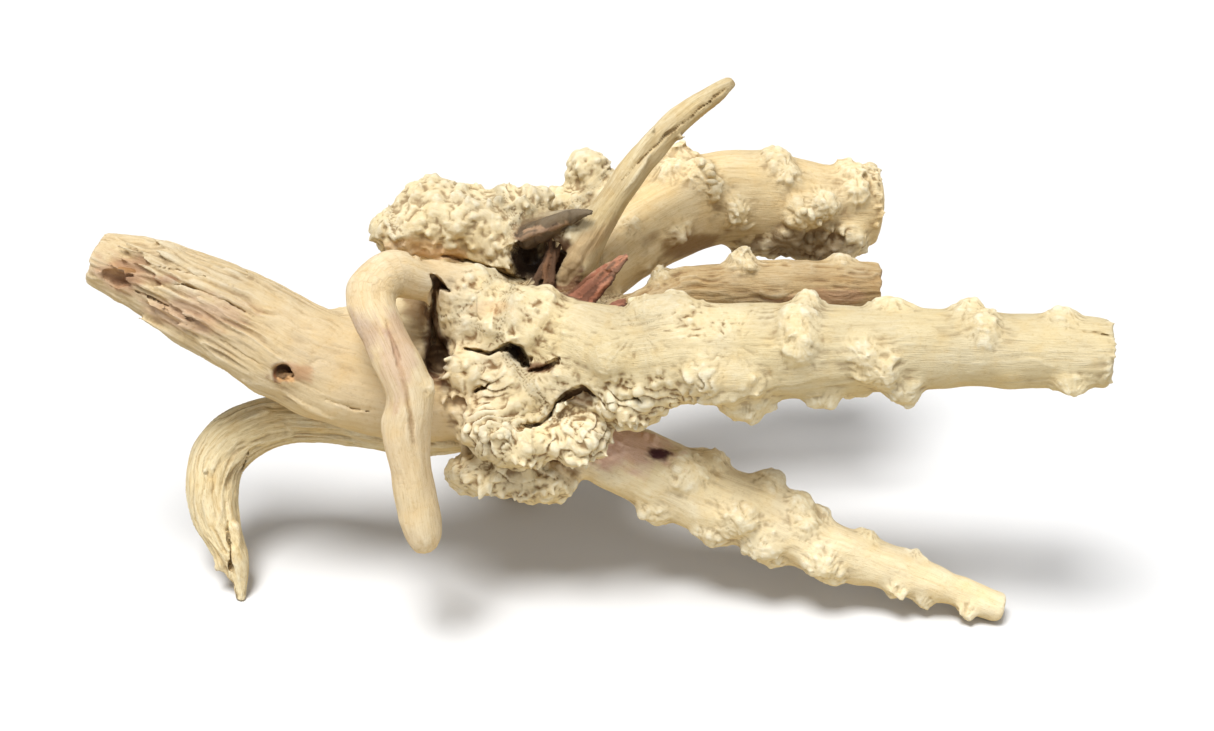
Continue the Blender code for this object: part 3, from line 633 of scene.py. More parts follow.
class Clay:
    """Closed shapes that run into each other, until they are grown together."""

    def __init__(self, points=None, faces=None):
        self.points, self.faces, self.count = [], [], 0
        if points is not None:
            self.add(points, faces)

    def add(self, points, faces):
        self.points.append(points)
        self.faces.append(faces + self.count)
        self.count += len(points)

    def add_limb(self, limb):
        """Lofts a limb as a closed tube with flat ends."""
        turns = 2 * np.pi * np.arange(RING_SIDES) / RING_SIDES
        across = limb.radii[:, None] / np.hypot(np.cos(turns), np.sin(turns) / limb.depth)
        out = limb.sides[:, None] * np.cos(turns)[:, None] + limb.fronts[:, None] * np.sin(turns)[:, None]
        rings = limb.points[:, None] + out * across[..., None]
        count = len(limb.points)
        k = np.arange(RING_SIDES)
        j = (k + 1) % RING_SIDES
        faces = []
        for i in range(count - 1):
            low, high = i * RING_SIDES, (i + 1) * RING_SIDES
            faces.append(np.column_stack([low + k, low + j, high + j]))
            faces.append(np.column_stack([low + k, high + j, high + k]))
        first, last = count * RING_SIDES, count * RING_SIDES + 1
        faces.append(np.column_stack([np.full(RING_SIDES, first), j, k]))
        top = (count - 1) * RING_SIDES
        faces.append(np.column_stack([np.full(RING_SIDES, last), top + k, top + j]))
        self.add(np.vstack([rings.reshape(-1, 3), limb.points[:1], limb.points[-1:]]), np.vstack(faces))

    def add_lumps(self, centres, axes, radii, template):
        """Adds ellipsoids, or another closed shape of unit size: axes are rows of unit vectors."""
        shape, faces = template
        centres, axes, radii = np.atleast_2d(centres), np.asarray(axes), np.atleast_2d(radii)
        if axes.ndim == 2:
            axes = np.broadcast_to(axes, (len(centres), 3, 3))
        points = centres[:, None] + (shape[None] * radii[:, None]) @ axes
        offsets = (np.arange(len(centres)) * len(shape))[:, None, None]
        self.add(points.reshape(-1, 3), (faces[None] + offsets).reshape(-1, 3))

    def joined(self):
        return np.vstack(self.points), np.vstack(self.faces)


def ball(subdivisions):
    """A closed unit sphere's points and faces."""
    shape = bmesh.new()
    bmesh.ops.create_icosphere(shape, subdivisions=subdivisions, radius=1)
    shape.verts.index_update()
    points = np.array([vert.co for vert in shape.verts])
    faces = np.array([[vert.index for vert in face.verts] for face in shape.faces])
    shape.free()
    return points, faces


def teardrop(template):
    """The sphere drawn out to a blunt point along its third axis."""
    points, faces = template
    slim = 1 - 0.42 * smoothstep(-0.2, 1.0, points[:, 2])
    return points * np.column_stack([slim, slim, np.ones(len(points))]), faces


def nodule_rows(centre, axes, radii, sunk, dice):
    """Medium nodules spread evenly over an ellipsoid, sunk by that share: their middles and radii."""
    count = max(6, round(NODULE_COVER * 4 * (sum(radii) / 3) ** 2 / NODULE_RADIUS**2))
    golden = math.pi * (3 - math.sqrt(5))
    rows = []
    for i in range(count):
        height = 1 - 2 * (i + 0.5) / count
        flat = math.sqrt(1 - height**2)
        turn = golden * i + dice.uniform(-0.3, 0.3)
        size = min(NODULE_RADIUS, 0.5 * min(radii)) * dice.uniform(0.7, 1.15)
        spot = np.array((flat * math.cos(turn), flat * math.sin(turn), height))
        reach = np.maximum(np.array(radii) - size * sunk, 0.5) * spot
        rows.append((*(centre + reach @ axes), size))
    return rows


def burl_shapes():
    """Every burl mass and knob: its middle, axes, radii and how crowded its popcorn is."""
    shapes = []
    for lobes, crowd in ((CROWN_LOBES, 0.15), (UNDER_LOBES, 0.4), (HEAD_LOBES, 0.9), (REAR_LOBES, 0.75)):
        for centre, radii in lobes:
            shapes.append((place(centre), VIEW_AXES, np.array(radii, float), crowd, "crown"))
    for name, knobs in KNOBS.items():
        limb = limbs[name]
        for distance, degrees, half_length, half_width, height in knobs:
            i = limb.ring(distance)
            outward = limb.outward(i, degrees)
            sunk = 0.5 * min(half_length, half_width)
            centre = limb.points[i] + outward * (limb.radius(i, degrees) - sunk)
            axes = np.array([limb.tangents[i], np.cross(outward, limb.tangents[i]), outward])
            radii = np.array((half_length, half_width, height + sunk))
            shapes.append((centre, axes, radii, KNOB_CROWD.get(name, 0.2), name))
    return shapes


def fill_clay(clay):
    """All that grew: limbs, burl masses and knobs, and the medium nodules on them."""
    dice = random.Random(NODULE_SEED)
    for name, limb in limbs.items():
        knobs = [shape for shape in burls if shape[4] == name]
        if knobs:
            swollen = Clay()
            swollen.add_limb(limb)
            for centre, axes, radii, _, _ in knobs:
                swollen.add_lumps(centre, axes, radii, BALL_FINE)
            clay.add(*creases_filled(swollen, CLAY_VOXEL, KNOB_FOOT))
        else:
            clay.add_limb(limb)
    for centre, radii in TRUNK_LOBES + SHOULDERS:
        clay.add_lumps(place(centre), VIEW_AXES, radii, BALL_FINE)
    rows = []
    for centre, axes, radii, _, owner in burls:
        if owner == "crown":
            clay.add_lumps(centre, axes, radii, BALL_FINE)
        sunk = NODULE_SUNK if owner == "crown" else KNOB_NODULE_SUNK
        rows += nodule_rows(centre, axes, radii, sunk, dice)
    rows = np.array(rows)
    clay.add_lumps(rows[:, :3], VIEW_AXES, np.repeat(rows[:, 3:], 3, axis=1), BALL_SMALL)


def level_set(points, faces, voxel, width=3.0):
    return openvdb.FloatGrid.createLevelSetFromPolygons(
        np.ascontiguousarray(points, np.float32),
        triangles=np.ascontiguousarray(faces, np.uint32),
        transform=openvdb.createLinearTransform(voxelSize=voxel),
        halfWidth=width,
    )


def halved(quads):
    """Each four-sided face as two triangles."""
    return np.vstack([quads[:, [0, 1, 2]], quads[:, [0, 2, 3]]])


def creases_filled(clay, voxel, radius):
    """The clay grown together, with each crease between its shapes rounded to that radius."""
    width = radius / voxel + 2
    points, quads = level_set(*clay.joined(), voxel, width).convertToQuads(radius)
    points, quads = level_set(points, halved(quads), voxel, width).convertToQuads(-radius)
    return points.astype(float), halved(quads.astype(np.int64))


def areas_of(corners):
    """Each face's normal, as long as twice its area, from the corners of three- or four-sided ones."""
    if corners.shape[1] == 4:
        return np.cross(corners[:, 2] - corners[:, 0], corners[:, 3] - corners[:, 1])
    return np.cross(corners[:, 1] - corners[:, 0], corners[:, 2] - corners[:, 0])


def skin_of(grid):
    """The level set's surface as points and four-sided faces that face out."""
    points, quads = grid.convertToQuads(0.0)
    points = np.asarray(points, float)
    quads = np.asarray(quads, np.int64)
    corners = points[quads]
    if (areas_of(corners) * corners[:, 0]).sum() < 0:
        quads = quads[:, ::-1]
    return points, quads


def links_of(quads):
    """Each edge of the faces once, as pairs of points."""
    pairs = np.concatenate([quads[:, [k, (k + 1) % quads.shape[1]]] for k in range(quads.shape[1])])
    pairs.sort(axis=1)
    top = int(pairs.max()) + 1
    codes = np.unique(pairs[:, 0] * top + pairs[:, 1])
    return np.column_stack([codes // top, codes % top])


def relaxed(points, links, times, factor=0.5):
    """The points, each drawn towards the mean of its neighbours."""
    count = len(points)
    near = np.bincount(links.ravel(), minlength=count)[:, None]
    for _ in range(times):
        total = np.column_stack([
            np.bincount(links[:, 0], points[links[:, 1], k], count)
            + np.bincount(links[:, 1], points[links[:, 0], k], count)
            for k in range(points.shape[1])
        ])
        points = points + factor * (total / np.maximum(near, 1) - points)
    return points


def normals_of(points, faces):
    made = areas_of(points[faces])
    total = np.zeros_like(points)
    for k in range(3):
        for corner in range(faces.shape[1]):
            total[:, k] += np.bincount(faces[:, corner], made[:, k], len(points))
    return unit(total)


def labels_of(count, links):
    """A number for each point, the same for all points that the links join."""
    labels = np.arange(count)
    while True:
        low = np.minimum(labels[links[:, 0]], labels[links[:, 1]])
        before = labels.copy()
        np.minimum.at(labels, labels[links[:, 0]], low)
        np.minimum.at(labels, labels[links[:, 1]], low)
        labels = labels[labels]
        labels = labels[labels]
        if (labels == before).all():
            return labels


def share_of(points, middle, axes, radii):
    """How far out each point lies in an ellipsoid: 0 at its middle, 1 on its surface."""
    return np.linalg.norm((points - middle) @ axes.T / radii, axis=1)


def burl_field(points):
    """How much each point lies on a burl, how crowded the popcorn is there, and how much of it is a
    limb's knob."""
    much = np.zeros(len(points))
    crowd = np.zeros(len(points))
    knobby = np.zeros(len(points))
    wrinkled = [(place(centre), VIEW_AXES, np.array(radii, float), crowded, "")
                for centre, radii, crowded in WRINKLES]
    for centre, axes, radii, crowded, owner in burls + wrinkled:
        near = np.abs(points - centre).max(axis=1) < radii.max() * 1.6 + 4
        share = share_of(points[near], centre, axes, radii + 1.0)
        inside = smoothstep(1.45, 0.85, share)
        much[near] = np.maximum(much[near], inside)
        if owner in KNOBS:
            knobby[near] = np.maximum(knobby[near], inside)
        crowd[near] = np.maximum(crowd[near], smoothstep(1.2, 0.9, share) * crowded)
    return much, crowd, knobby


def limb_field(points):
    """For each point: how near each limb is, and where it lies in the nearest limbs' own straight
    coordinates (along, side, front)."""
    count = len(points)
    near = np.zeros((count, len(limbs)), np.float32)
    grain = np.zeros((count, 3))
    total = np.zeros(count)
    for column, limb in enumerate(limbs.values()):
        reach = limb.radii.max() + 12
        low, high = limb.points.min(0) - reach, limb.points.max(0) + reach
        inside = np.flatnonzero(((points > low) & (points < high)).all(axis=1))
        for chunk in np.array_split(inside, len(inside) // 60000 + 1):
            here = points[chunk].astype(np.float32)
            centres = limb.points.astype(np.float32)
            squares = (here**2).sum(1)[:, None] - 2 * here @ centres.T + (centres**2).sum(1)
            i = squares.argmin(axis=1)
            offset = points[chunk] - limb.points[i]
            along = (offset * limb.tangents[i]).sum(1)
            side = (offset * limb.sides[i]).sum(1)
            front = (offset * limb.fronts[i]).sum(1)
            share = np.linalg.norm(offset, axis=1) / limb.radii[i]
            weight = np.clip(1.75 - share, 0, 1) ** 2
            near[chunk, column] = weight
            sharp = weight**3 + 1e-6
            local = np.column_stack([limb.along[i] + along, side, front]) + column * LIMB_SHIFT
            grain[chunk] += sharp[:, None] * local
            total[chunk] += sharp
    lone = total == 0
    grain[lone], total[lone] = points[lone], 1
    return near, grain / total[:, None]


def segment_gaps(points, line, widths):
    """How far each point is outside a chain of round-ended segments of those half widths."""
    best = np.full(len(points), 99.0)
    for start, stop, wide, narrow in zip(line, line[1:], widths, widths[1:]):
        step = stop - start
        t = np.clip(((points - start) @ step) / (step @ step), 0, 1)
        gap = np.linalg.norm(points - start - t[:, None] * step, axis=1)
        best = np.minimum(best, gap - wide - t * (narrow - wide))
    return best


def strands_of(rng):
    """The points along each strand and fibre, its half widths there and its colour."""
    strands = []
    for colour, rows in STRANDS:
        rows = np.array(rows, float)
        strands.append((place(rows[:, :3]), rows[:, 3], colour))
    for colour, start, stop, near, far, thick, count in FIBRES:
        for _ in range(count):
            first = np.array(start) + rng.uniform(-near, near, 3) * (0.7, 0.7, 0.4)
            last = np.array(stop) + rng.uniform(-far, far, 3) * (0.7, 0.7, 0.4)
            steps = np.array((0, 0.35, 0.7, 1))[:, None]
            line = first + (last - first) * steps + rng.normal(size=(4, 3)) * 0.5
            shade = np.array(colour) * rng.uniform(0.55, 1.3)
            widths = thick * rng.uniform(0.6, 1.1) * np.array((1.0, 1.0, 0.8, 0.35))
            strands.append((place(line), widths, shade))
    return strands


def lay_strand(grid, voxel, line, widths):
    """Adds a strand of wood to the level set, with its grain standing out."""
    ahead = unit(line[-1] - line[0])
    aside = unit(np.cross(ahead, TO_VIEWER))
    turned = np.array([ahead, aside, np.cross(ahead, aside)])

    def change(points, depths):
        warped = points + 0.4 * noise_vectors(points, 3.0, 81)
        gaps = segment_gaps(warped, line, widths)
        fibres = ridges(points @ turned.T, (9.0, 1.5, 1.5), 85) - 0.6
        return np.minimum(depths, gaps - 0.5 * fibres)

    reach = widths.max() + 2
    edit_block(grid, voxel, line.min(0) - reach, line.max(0) + reach, change)


def edit_block(grid, voxel, low, high, change):
    """Changes a box of the level set: change gets its points and depths, and returns new depths."""
    first = np.floor(np.asarray(low) / voxel).astype(int) - 4
    last = np.ceil(np.asarray(high) / voxel).astype(int) + 5
    block = np.zeros(tuple(last - first), np.float32)
    grid.copyToArray(block, ijk=tuple(int(v) for v in first))
    spots = np.indices(block.shape).reshape(3, -1).T + first
    made = change(spots * voxel, block.ravel().astype(float))
    limit = 3 * voxel
    block = np.clip(made, -limit, limit).astype(np.float32).reshape(block.shape)
    grid.copyFromArray(block, ijk=tuple(int(v) for v in first))


def carve_hollow(grid, voxel, centre, radii):
    centre = place(centre)
    radii = np.array(radii, float)

    def change(points, depths):
        local = (points - centre) @ VIEW_AXES.T
        local += 1.1 * noise_vectors(points, 4.5, 71)
        share = np.linalg.norm(local / radii, axis=1)
        steep = np.linalg.norm(local / radii**2, axis=1)
        return np.maximum(depths, -share * (share - 1) / np.maximum(steep, 1e-6))

    reach = radii.max() + 2
    edit_block(grid, voxel, centre - reach, centre + reach, change)


def carve_crack(grid, voxel, rows, depth, aways):
    """A thin cut that follows a line on the surface, straight in from the viewer."""
    line = np.array(rows, float)
    ends = place(np.column_stack([line[:, :2], aways]))
    deep = place(np.column_stack([line[:, :2], aways + depth]))
    both = np.vstack([ends, deep, ends + TO_VIEWER * 4])

    def change(points, depths):
        seen = layout(points)
        warp = np.column_stack([noise(points, 3.2, 91), noise(points, 3.2, 92)]) * 0.7
        flat = seen[:, :2] + warp
        best = np.full(len(points), 99.0)
        for k in range(len(line) - 1):
            start, step = line[k, :2], line[k + 1, :2] - line[k, :2]
            t = np.clip(((flat - start) @ step) / (step @ step), 0, 1)
            gap = np.linalg.norm(flat - start - t[:, None] * step, axis=1)
            width = line[k, 2] + t * (line[k + 1, 2] - line[k, 2])
            front = aways[k] + t * (aways[k + 1] - aways[k])
            taper = np.clip((seen[:, 2] - front) / depth, 0, 1)
            cut = np.maximum(gap - width * (1.25 - 0.9 * taper), seen[:, 2] - front - depth)
            best = np.minimum(best, np.maximum(cut, front - 5 - seen[:, 2]))
        return np.maximum(depths, -best)

    edit_block(grid, voxel, both.min(0) - 4, both.max(0) + 4, change)


def flatten_feet(grid, voxel, low, high):
    def change(points, depths):
        return np.maximum(depths, -points[:, 2])

    edit_block(grid, voxel, (low[0], low[1], low[2] - 2), (high[0], high[1], 2), change)


def surface_finder(points, quads):
    """A function that gives the surface point that the viewer sees at a spot, or the nearest one if none
    is seen.
    """
    tree = BVHTree.FromPolygons(points.tolist(), quads.tolist())
    eye = place((EYE_AXIS[0], EYE_AXIS[1], -EYE_DISTANCE + 1))

    def find(across, up):
        aim = place((across, up, 0))
        hit = tree.ray_cast(Vector(eye), Vector(unit(aim - eye)))[0]
        if hit is None:
            near = tree.find_nearest(Vector(aim))[0]
            return np.array(near)
        return np.array(hit)

    return find


def one_per_cell(points, size, rng):
    """One point at random out of each cell of space."""
    order = rng.permutation(len(points))
    cells = np.floor(points[order] / size).astype(np.int64)
    codes = (cells[:, 0] * 4001 + cells[:, 1]) * 4001 + cells[:, 2]
    _, first = np.unique(codes, return_index=True)
    return order[first]


def frames_along(directions, rng):
    """Three unit rows for each direction, which is the third."""
    aside = unit(np.cross(directions, unit(rng.normal(size=directions.shape))))
    return np.stack([aside, np.cross(directions, aside), directions], axis=1)


def scatter_popcorn(clay, points, normals, rng):
    """Small pointed nodules over the burls."""
    _, crowd, _ = burl_field(points)
    for size, least, most, tall, rate in POPCORN:
        chosen = one_per_cell(points, size, rng)
        chosen = chosen[rng.random(len(chosen)) < crowd[chosen] * rate]
        out = unit(normals[chosen] + POPCORN_LEAN * rng.normal(size=(len(chosen), 3)))
        width = rng.uniform(least, most, len(chosen))
        stretch = rng.uniform(0.8, 1.3, (len(chosen), 1))
        radii = np.column_stack([width, width]) * np.hstack([stretch, 1 / stretch])
        radii = np.column_stack([radii, width * tall])
        centres = points[chosen] - out * width[:, None] * POPCORN_SUNK
        clay.add_lumps(centres, frames_along(out, rng), radii, DROP)


def raise_flakes(clay, rng):
    """Thin slivers along the grain, half lifted from the limb."""
    for name, rows in FLAKES.items():
        limb = limbs[name]
        for count, near, far, low, high in rows:
            for _ in range(count):
                i = limb.ring(rng.uniform(near, far))
                degrees = rng.uniform(low, high)
                out = limb.outward(i, degrees)
                lean = unit(limb.tangents[i] + out * rng.uniform(-0.02, 0.12))
                axes = np.array([lean, unit(np.cross(out, lean)), np.cross(lean, np.cross(out, lean))])
                centre = limb.points[i] + out * (limb.radius(i, degrees) - 0.2)
                radii = (rng.uniform(5, 13), rng.uniform(0.7, 1.6), rng.uniform(0.5, 1.2))
                clay.add_lumps(centre, axes, radii, BALL_SMALL)


def raise_frills(clay, find, rng):
    for line, way, radius, length in FRILLS.values():
        line = np.array(line, float)
        lean = unit(np.array(way, float) @ VIEW_AXES)
        for start, stop in zip(line, line[1:]):
            steps = max(1, round(np.linalg.norm(stop - start) / (radius * 1.5)))
            for k in range(steps):
                spot = start + (stop - start) * (k + rng.uniform(0, 0.6)) / steps
                root = find(*(spot + rng.normal(size=2) * 0.8))
                out = unit(lean + 0.3 * rng.normal(size=3))
                width = radius * rng.uniform(0.75, 1.25)
                tall = length * rng.uniform(0.6, 1.15)
                centre = root + out * tall * 0.1
                radii = (width * 0.8, width * 1.2, tall)
                clay.add_lumps(centre, frames_along(out[None], rng), radii, DROP)


def grow():
    """The whole piece of wood in fine mesh: points and four-sided faces."""
    rng = np.random.default_rng(GROWTH_SEED)
    clay = Clay()
    fill_clay(clay)
    points, quads = skin_of(level_set(*creases_filled(clay, CLAY_VOXEL, CREASE_RADIUS), CLAY_VOXEL))
    points = relaxed(points, links_of(quads), 3)
    normals = normals_of(points, quads)
    find = surface_finder(points, quads)
    clay = Clay(points, halved(quads))
    scatter_popcorn(clay, points, normals, rng)
    clay = Clay(*creases_filled(clay, FINE_VOXEL, POPCORN_FOOT))
    raise_frills(clay, find, rng)
    raise_flakes(clay, rng)
    grid = level_set(*clay.joined(), FINE_VOXEL)
    for centre, radii in list(HOLLOWS.values()) + FINE_HOLLOWS:
        carve_hollow(grid, FINE_VOXEL, centre, radii)
    for line, widths, _ in strands:
        lay_strand(grid, FINE_VOXEL, line, widths)
    for rows, depth in CRACKS.values():
        aways = np.array([layout(find(row[0], row[1]))[2] for row in rows])
        aways = np.minimum(aways, np.median(aways) + 6)
        carve_crack(grid, FINE_VOXEL, rows, depth, aways)
    flatten_feet(grid, FINE_VOXEL, points.min(0), points.max(0))
    fine, quads = skin_of(grid)
    links = links_of(quads)
    labels = labels_of(len(fine), links)
    kept = labels == np.bincount(labels).argmax()
    number = np.cumsum(kept) - 1
    quads = number[quads[kept[quads[:, 0]]]]
    fine = relaxed(fine[kept], links_of(quads), 2)
    return fine, quads, find


def scallop_field(points):
    much = np.zeros(len(points))
    for centre, radii, strength in SCALLOPS:
        share = share_of(points, place(centre), VIEW_AXES, np.array(radii, float))
        much = np.maximum(much, strength * smoothstep(1.15, 0.75, share))
    return much


def fans_of(find):
    """Each place that pleats spread from: its middle, its axes, its reach and how strong they are."""
    fans = [(find(*middle), VIEW_AXES, reach, strength) for middle, reach, strength in FANS]
    for centre, axes, radii, _, owner in burls:
        if owner != "crown":
            top = centre + axes[2] * radii[2]
            fans.append((top, axes, 1.9 * radii[:2].mean() + 2, 0.55))
    return fans


def fan_field(points, find):
    """The pleats' height at each point, how much they show, and how far and which way it lies from
    the middle that they spread from."""
    pleats = np.zeros(len(points))
    falls = np.zeros(len(points))
    ways = np.zeros((len(points), 3))
    shown = np.zeros(len(points))
    for number, (middle, axes, reach, strength) in enumerate(fans_of(find)):
        near = np.flatnonzero(np.abs(points - middle).max(axis=1) < reach)
        flat = (points[near] - middle) @ axes[:2].T
        gap = np.linalg.norm(flat, axis=1)
        way = flat / np.maximum(gap, 0.3)[:, None]
        spots = np.column_stack([way * (4 + 0.4 * reach), gap + 31.0 * number])
        spots += 0.9 * noise(points[near], 5.0, 56)[:, None]
        raised = ridges(spots, (PLEAT_WIDTH, PLEAT_WIDTH, PLEAT_LENGTH), 57) - 0.6
        far = np.linalg.norm(points[near] - middle, axis=1)
        weight = strength * smoothstep(reach, 0.72 * reach, far) * smoothstep(0.0, 0.22 * reach, gap)
        pleats[near] += weight * raised
        falls[near] += weight * gap
        ways[near] += weight[:, None] * (way @ axes[:2])
        shown[near] += weight
    pleats /= np.maximum(shown, 1)
    falls /= np.maximum(shown, 1e-6)
    return pleats, np.minimum(shown, 1), falls, unit(ways)


def sound_trunk(near, grain):
    """How much each point is of the trunk's sound part, where the grain hardly shows."""
    column = list(limbs).index("trunk")
    share = near[:, column] / np.maximum(near.sum(1), 1e-6)
    return share * smoothstep(TRUNK_WORN, TRUNK_SOUND, grain[:, 0] - LIMB_SHIFT * column)


def roughen(points, quads, find):
    """Cuts the grain into the limbs, and swells, pleats and wrinkles into the burls."""
    normals = normals_of(points, quads)
    near, grain = limb_field(points)
    much, crowd, _ = burl_field(points)
    share = near / np.maximum(near.sum(1, keepdims=True), 1e-6)
    depth = share @ np.array([LIMB_LOOKS[name][0] for name in limbs])
    swollen = share @ np.array([LIMB_LOOKS[name][1] for name in limbs])
    depth *= 1 - 0.75 * sound_trunk(near, grain)
    plain = np.clip(1 - much * (0.35 + 0.5 * crowd), 0, 1)
    warp = noise(points, 9.0, 21)[:, None] * np.array((0.0, 1.6, 1.6))
    streaks = ridges(grain + warp, STREAK_SIZE, 22) - 0.7
    wide = noise(grain + warp, WIDE_SIZE, 23)
    move = plain * depth * (STREAK_LIFT * streaks + WIDE_LIFT * wide)
    warped = points + 1.4 * noise_vectors(points, 5.0, 31)
    swell = noise(points, SWELL_SIZE, 41)
    wrinkle = 0.7 - ridges(warped, WRINKLE_SIZE, 42)
    flow = 0.7 - ridges(grain + 2.4 * noise(points, 6.0, 45)[:, None], FLOW_SIZE, 44)
    fine = 0.7 - ridges(warped, FINE_SIZE, 43)
    burly = much * (0.3 + 0.7 * crowd)
    move += burly * (SWELL_LIFT * swell + WRINKLE_LIFT * wrinkle + FLOW_LIFT * flow + FINE_LIFT * fine)
    move += swollen * (noise(points, 14.0, 51) + 0.35 * noise(points, 6.5, 52))
    pleats, shown, falls, ways = fan_field(points, find)
    move += np.maximum(0.3 * plain, burly) * PLEAT_LIFT * pleats
    falls += 2.6 * noise(points, 8.0, 46) + 1.2 * noise(points, 3.4, 47)
    tooth = np.mod(falls / SCALLOP_STEP, 1)
    lip = smoothstep(0.0, 0.75, tooth) * smoothstep(1.0, 0.86, tooth)
    uneven = 0.55 + 0.45 * noise(points, 4.2, 48)
    lift = shown * scallop_field(points) * lip * uneven * SCALLOP_LIFT
    on_floor = smoothstep(0.2, 2.0, points[:, 2])[:, None]
    outward = normals * (move + lift)[:, None] + ways * (0.7 * lift)[:, None]
    return points + outward * on_floor


def mesh_of(name, points, faces):
    mesh = bpy.data.meshes.new(name)
    count, corners = len(faces), faces.shape[1]
    mesh.vertices.add(len(points))
    mesh.vertices.foreach_set("co", np.ascontiguousarray(points * MM, np.float32).ravel())
    mesh.loops.add(count * corners)
    mesh.loops.foreach_set("vertex_index", np.ascontiguousarray(faces, np.int32).ravel())
    mesh.polygons.add(count)
    mesh.polygons.foreach_set("loop_start", np.arange(0, count * corners, corners, dtype=np.int32))
    mesh.update(calc_edges=True)
    return mesh


def fewer_faces(points, faces, count):
    """The mesh with about that many triangles, still finest where it bends most."""
    mesh = mesh_of("whole", points, faces)
    whole = bpy.data.objects.new("whole", mesh)
    bpy.context.scene.collection.objects.link(whole)
    fewer = whole.modifiers.new("fewer", "DECIMATE")
    fewer.ratio = min(1.0, count / (2 * len(faces)))
    graph = bpy.context.evaluated_depsgraph_get()
    made = bpy.data.meshes.new_from_object(whole.evaluated_get(graph), depsgraph=graph)
    made.calc_loop_triangles()
    spots = np.zeros(len(made.vertices) * 3, np.float32)
    made.vertices.foreach_get("co", spots)
    corners = np.zeros(len(made.loop_triangles) * 3, np.int32)
    made.loop_triangles.foreach_get("vertices", corners)
    bpy.data.objects.remove(whole)
    bpy.data.meshes.remove(mesh)
    bpy.data.meshes.remove(made)
    return spots.reshape(-1, 3).astype(float) / MM, corners.reshape(-1, 3).astype(np.int64)


def owners_of(points, links):
    """The node that each point belongs to: the wood is parted at the solids' own saw cuts."""
    whole = np.ones(len(links), bool)
    for name, (distance, side, front, half_side, half_front) in SAW_CUTS.items():
        limb = limbs[name]
        i = limb.ring(distance)
        middle = limb.points[i] + limb.sides[i] * side + limb.fronts[i] * front
        axis = np.cross(limb.sides[i], limb.fronts[i])
        offset = points - middle
        height = offset @ axis
        aside = offset @ limb.sides[i] / (half_side + SAW_MARGIN)
        ahead = offset @ limb.fronts[i] / (half_front + SAW_MARGIN)
        inside = (np.hypot(aside, ahead) < 1.0) & (np.abs(height) < SAW_REACH)
        a, b = links.T
        crossing = inside[a] & inside[b] & ((height[a] > 0) != (height[b] > 0))
        whole &= ~crossing
    labels = labels_of(len(points), links[whole])

    def label_near(spot):
        return labels[np.linalg.norm(points - spot, axis=1).argmin()]

    owners = np.full(len(points), "crown", dtype=object)
    for name in SAW_CUTS:
        limb = limbs[name]
        label = label_near(limb.points[limb.ring(limb.along[-1] - 2 * limb.radii[-1])])
        if label == label_near(place(CROWN_FRONT)):
            print(f"{name} isn't parted from the crown")
            continue
        owners[labels == label] = name
    return owners


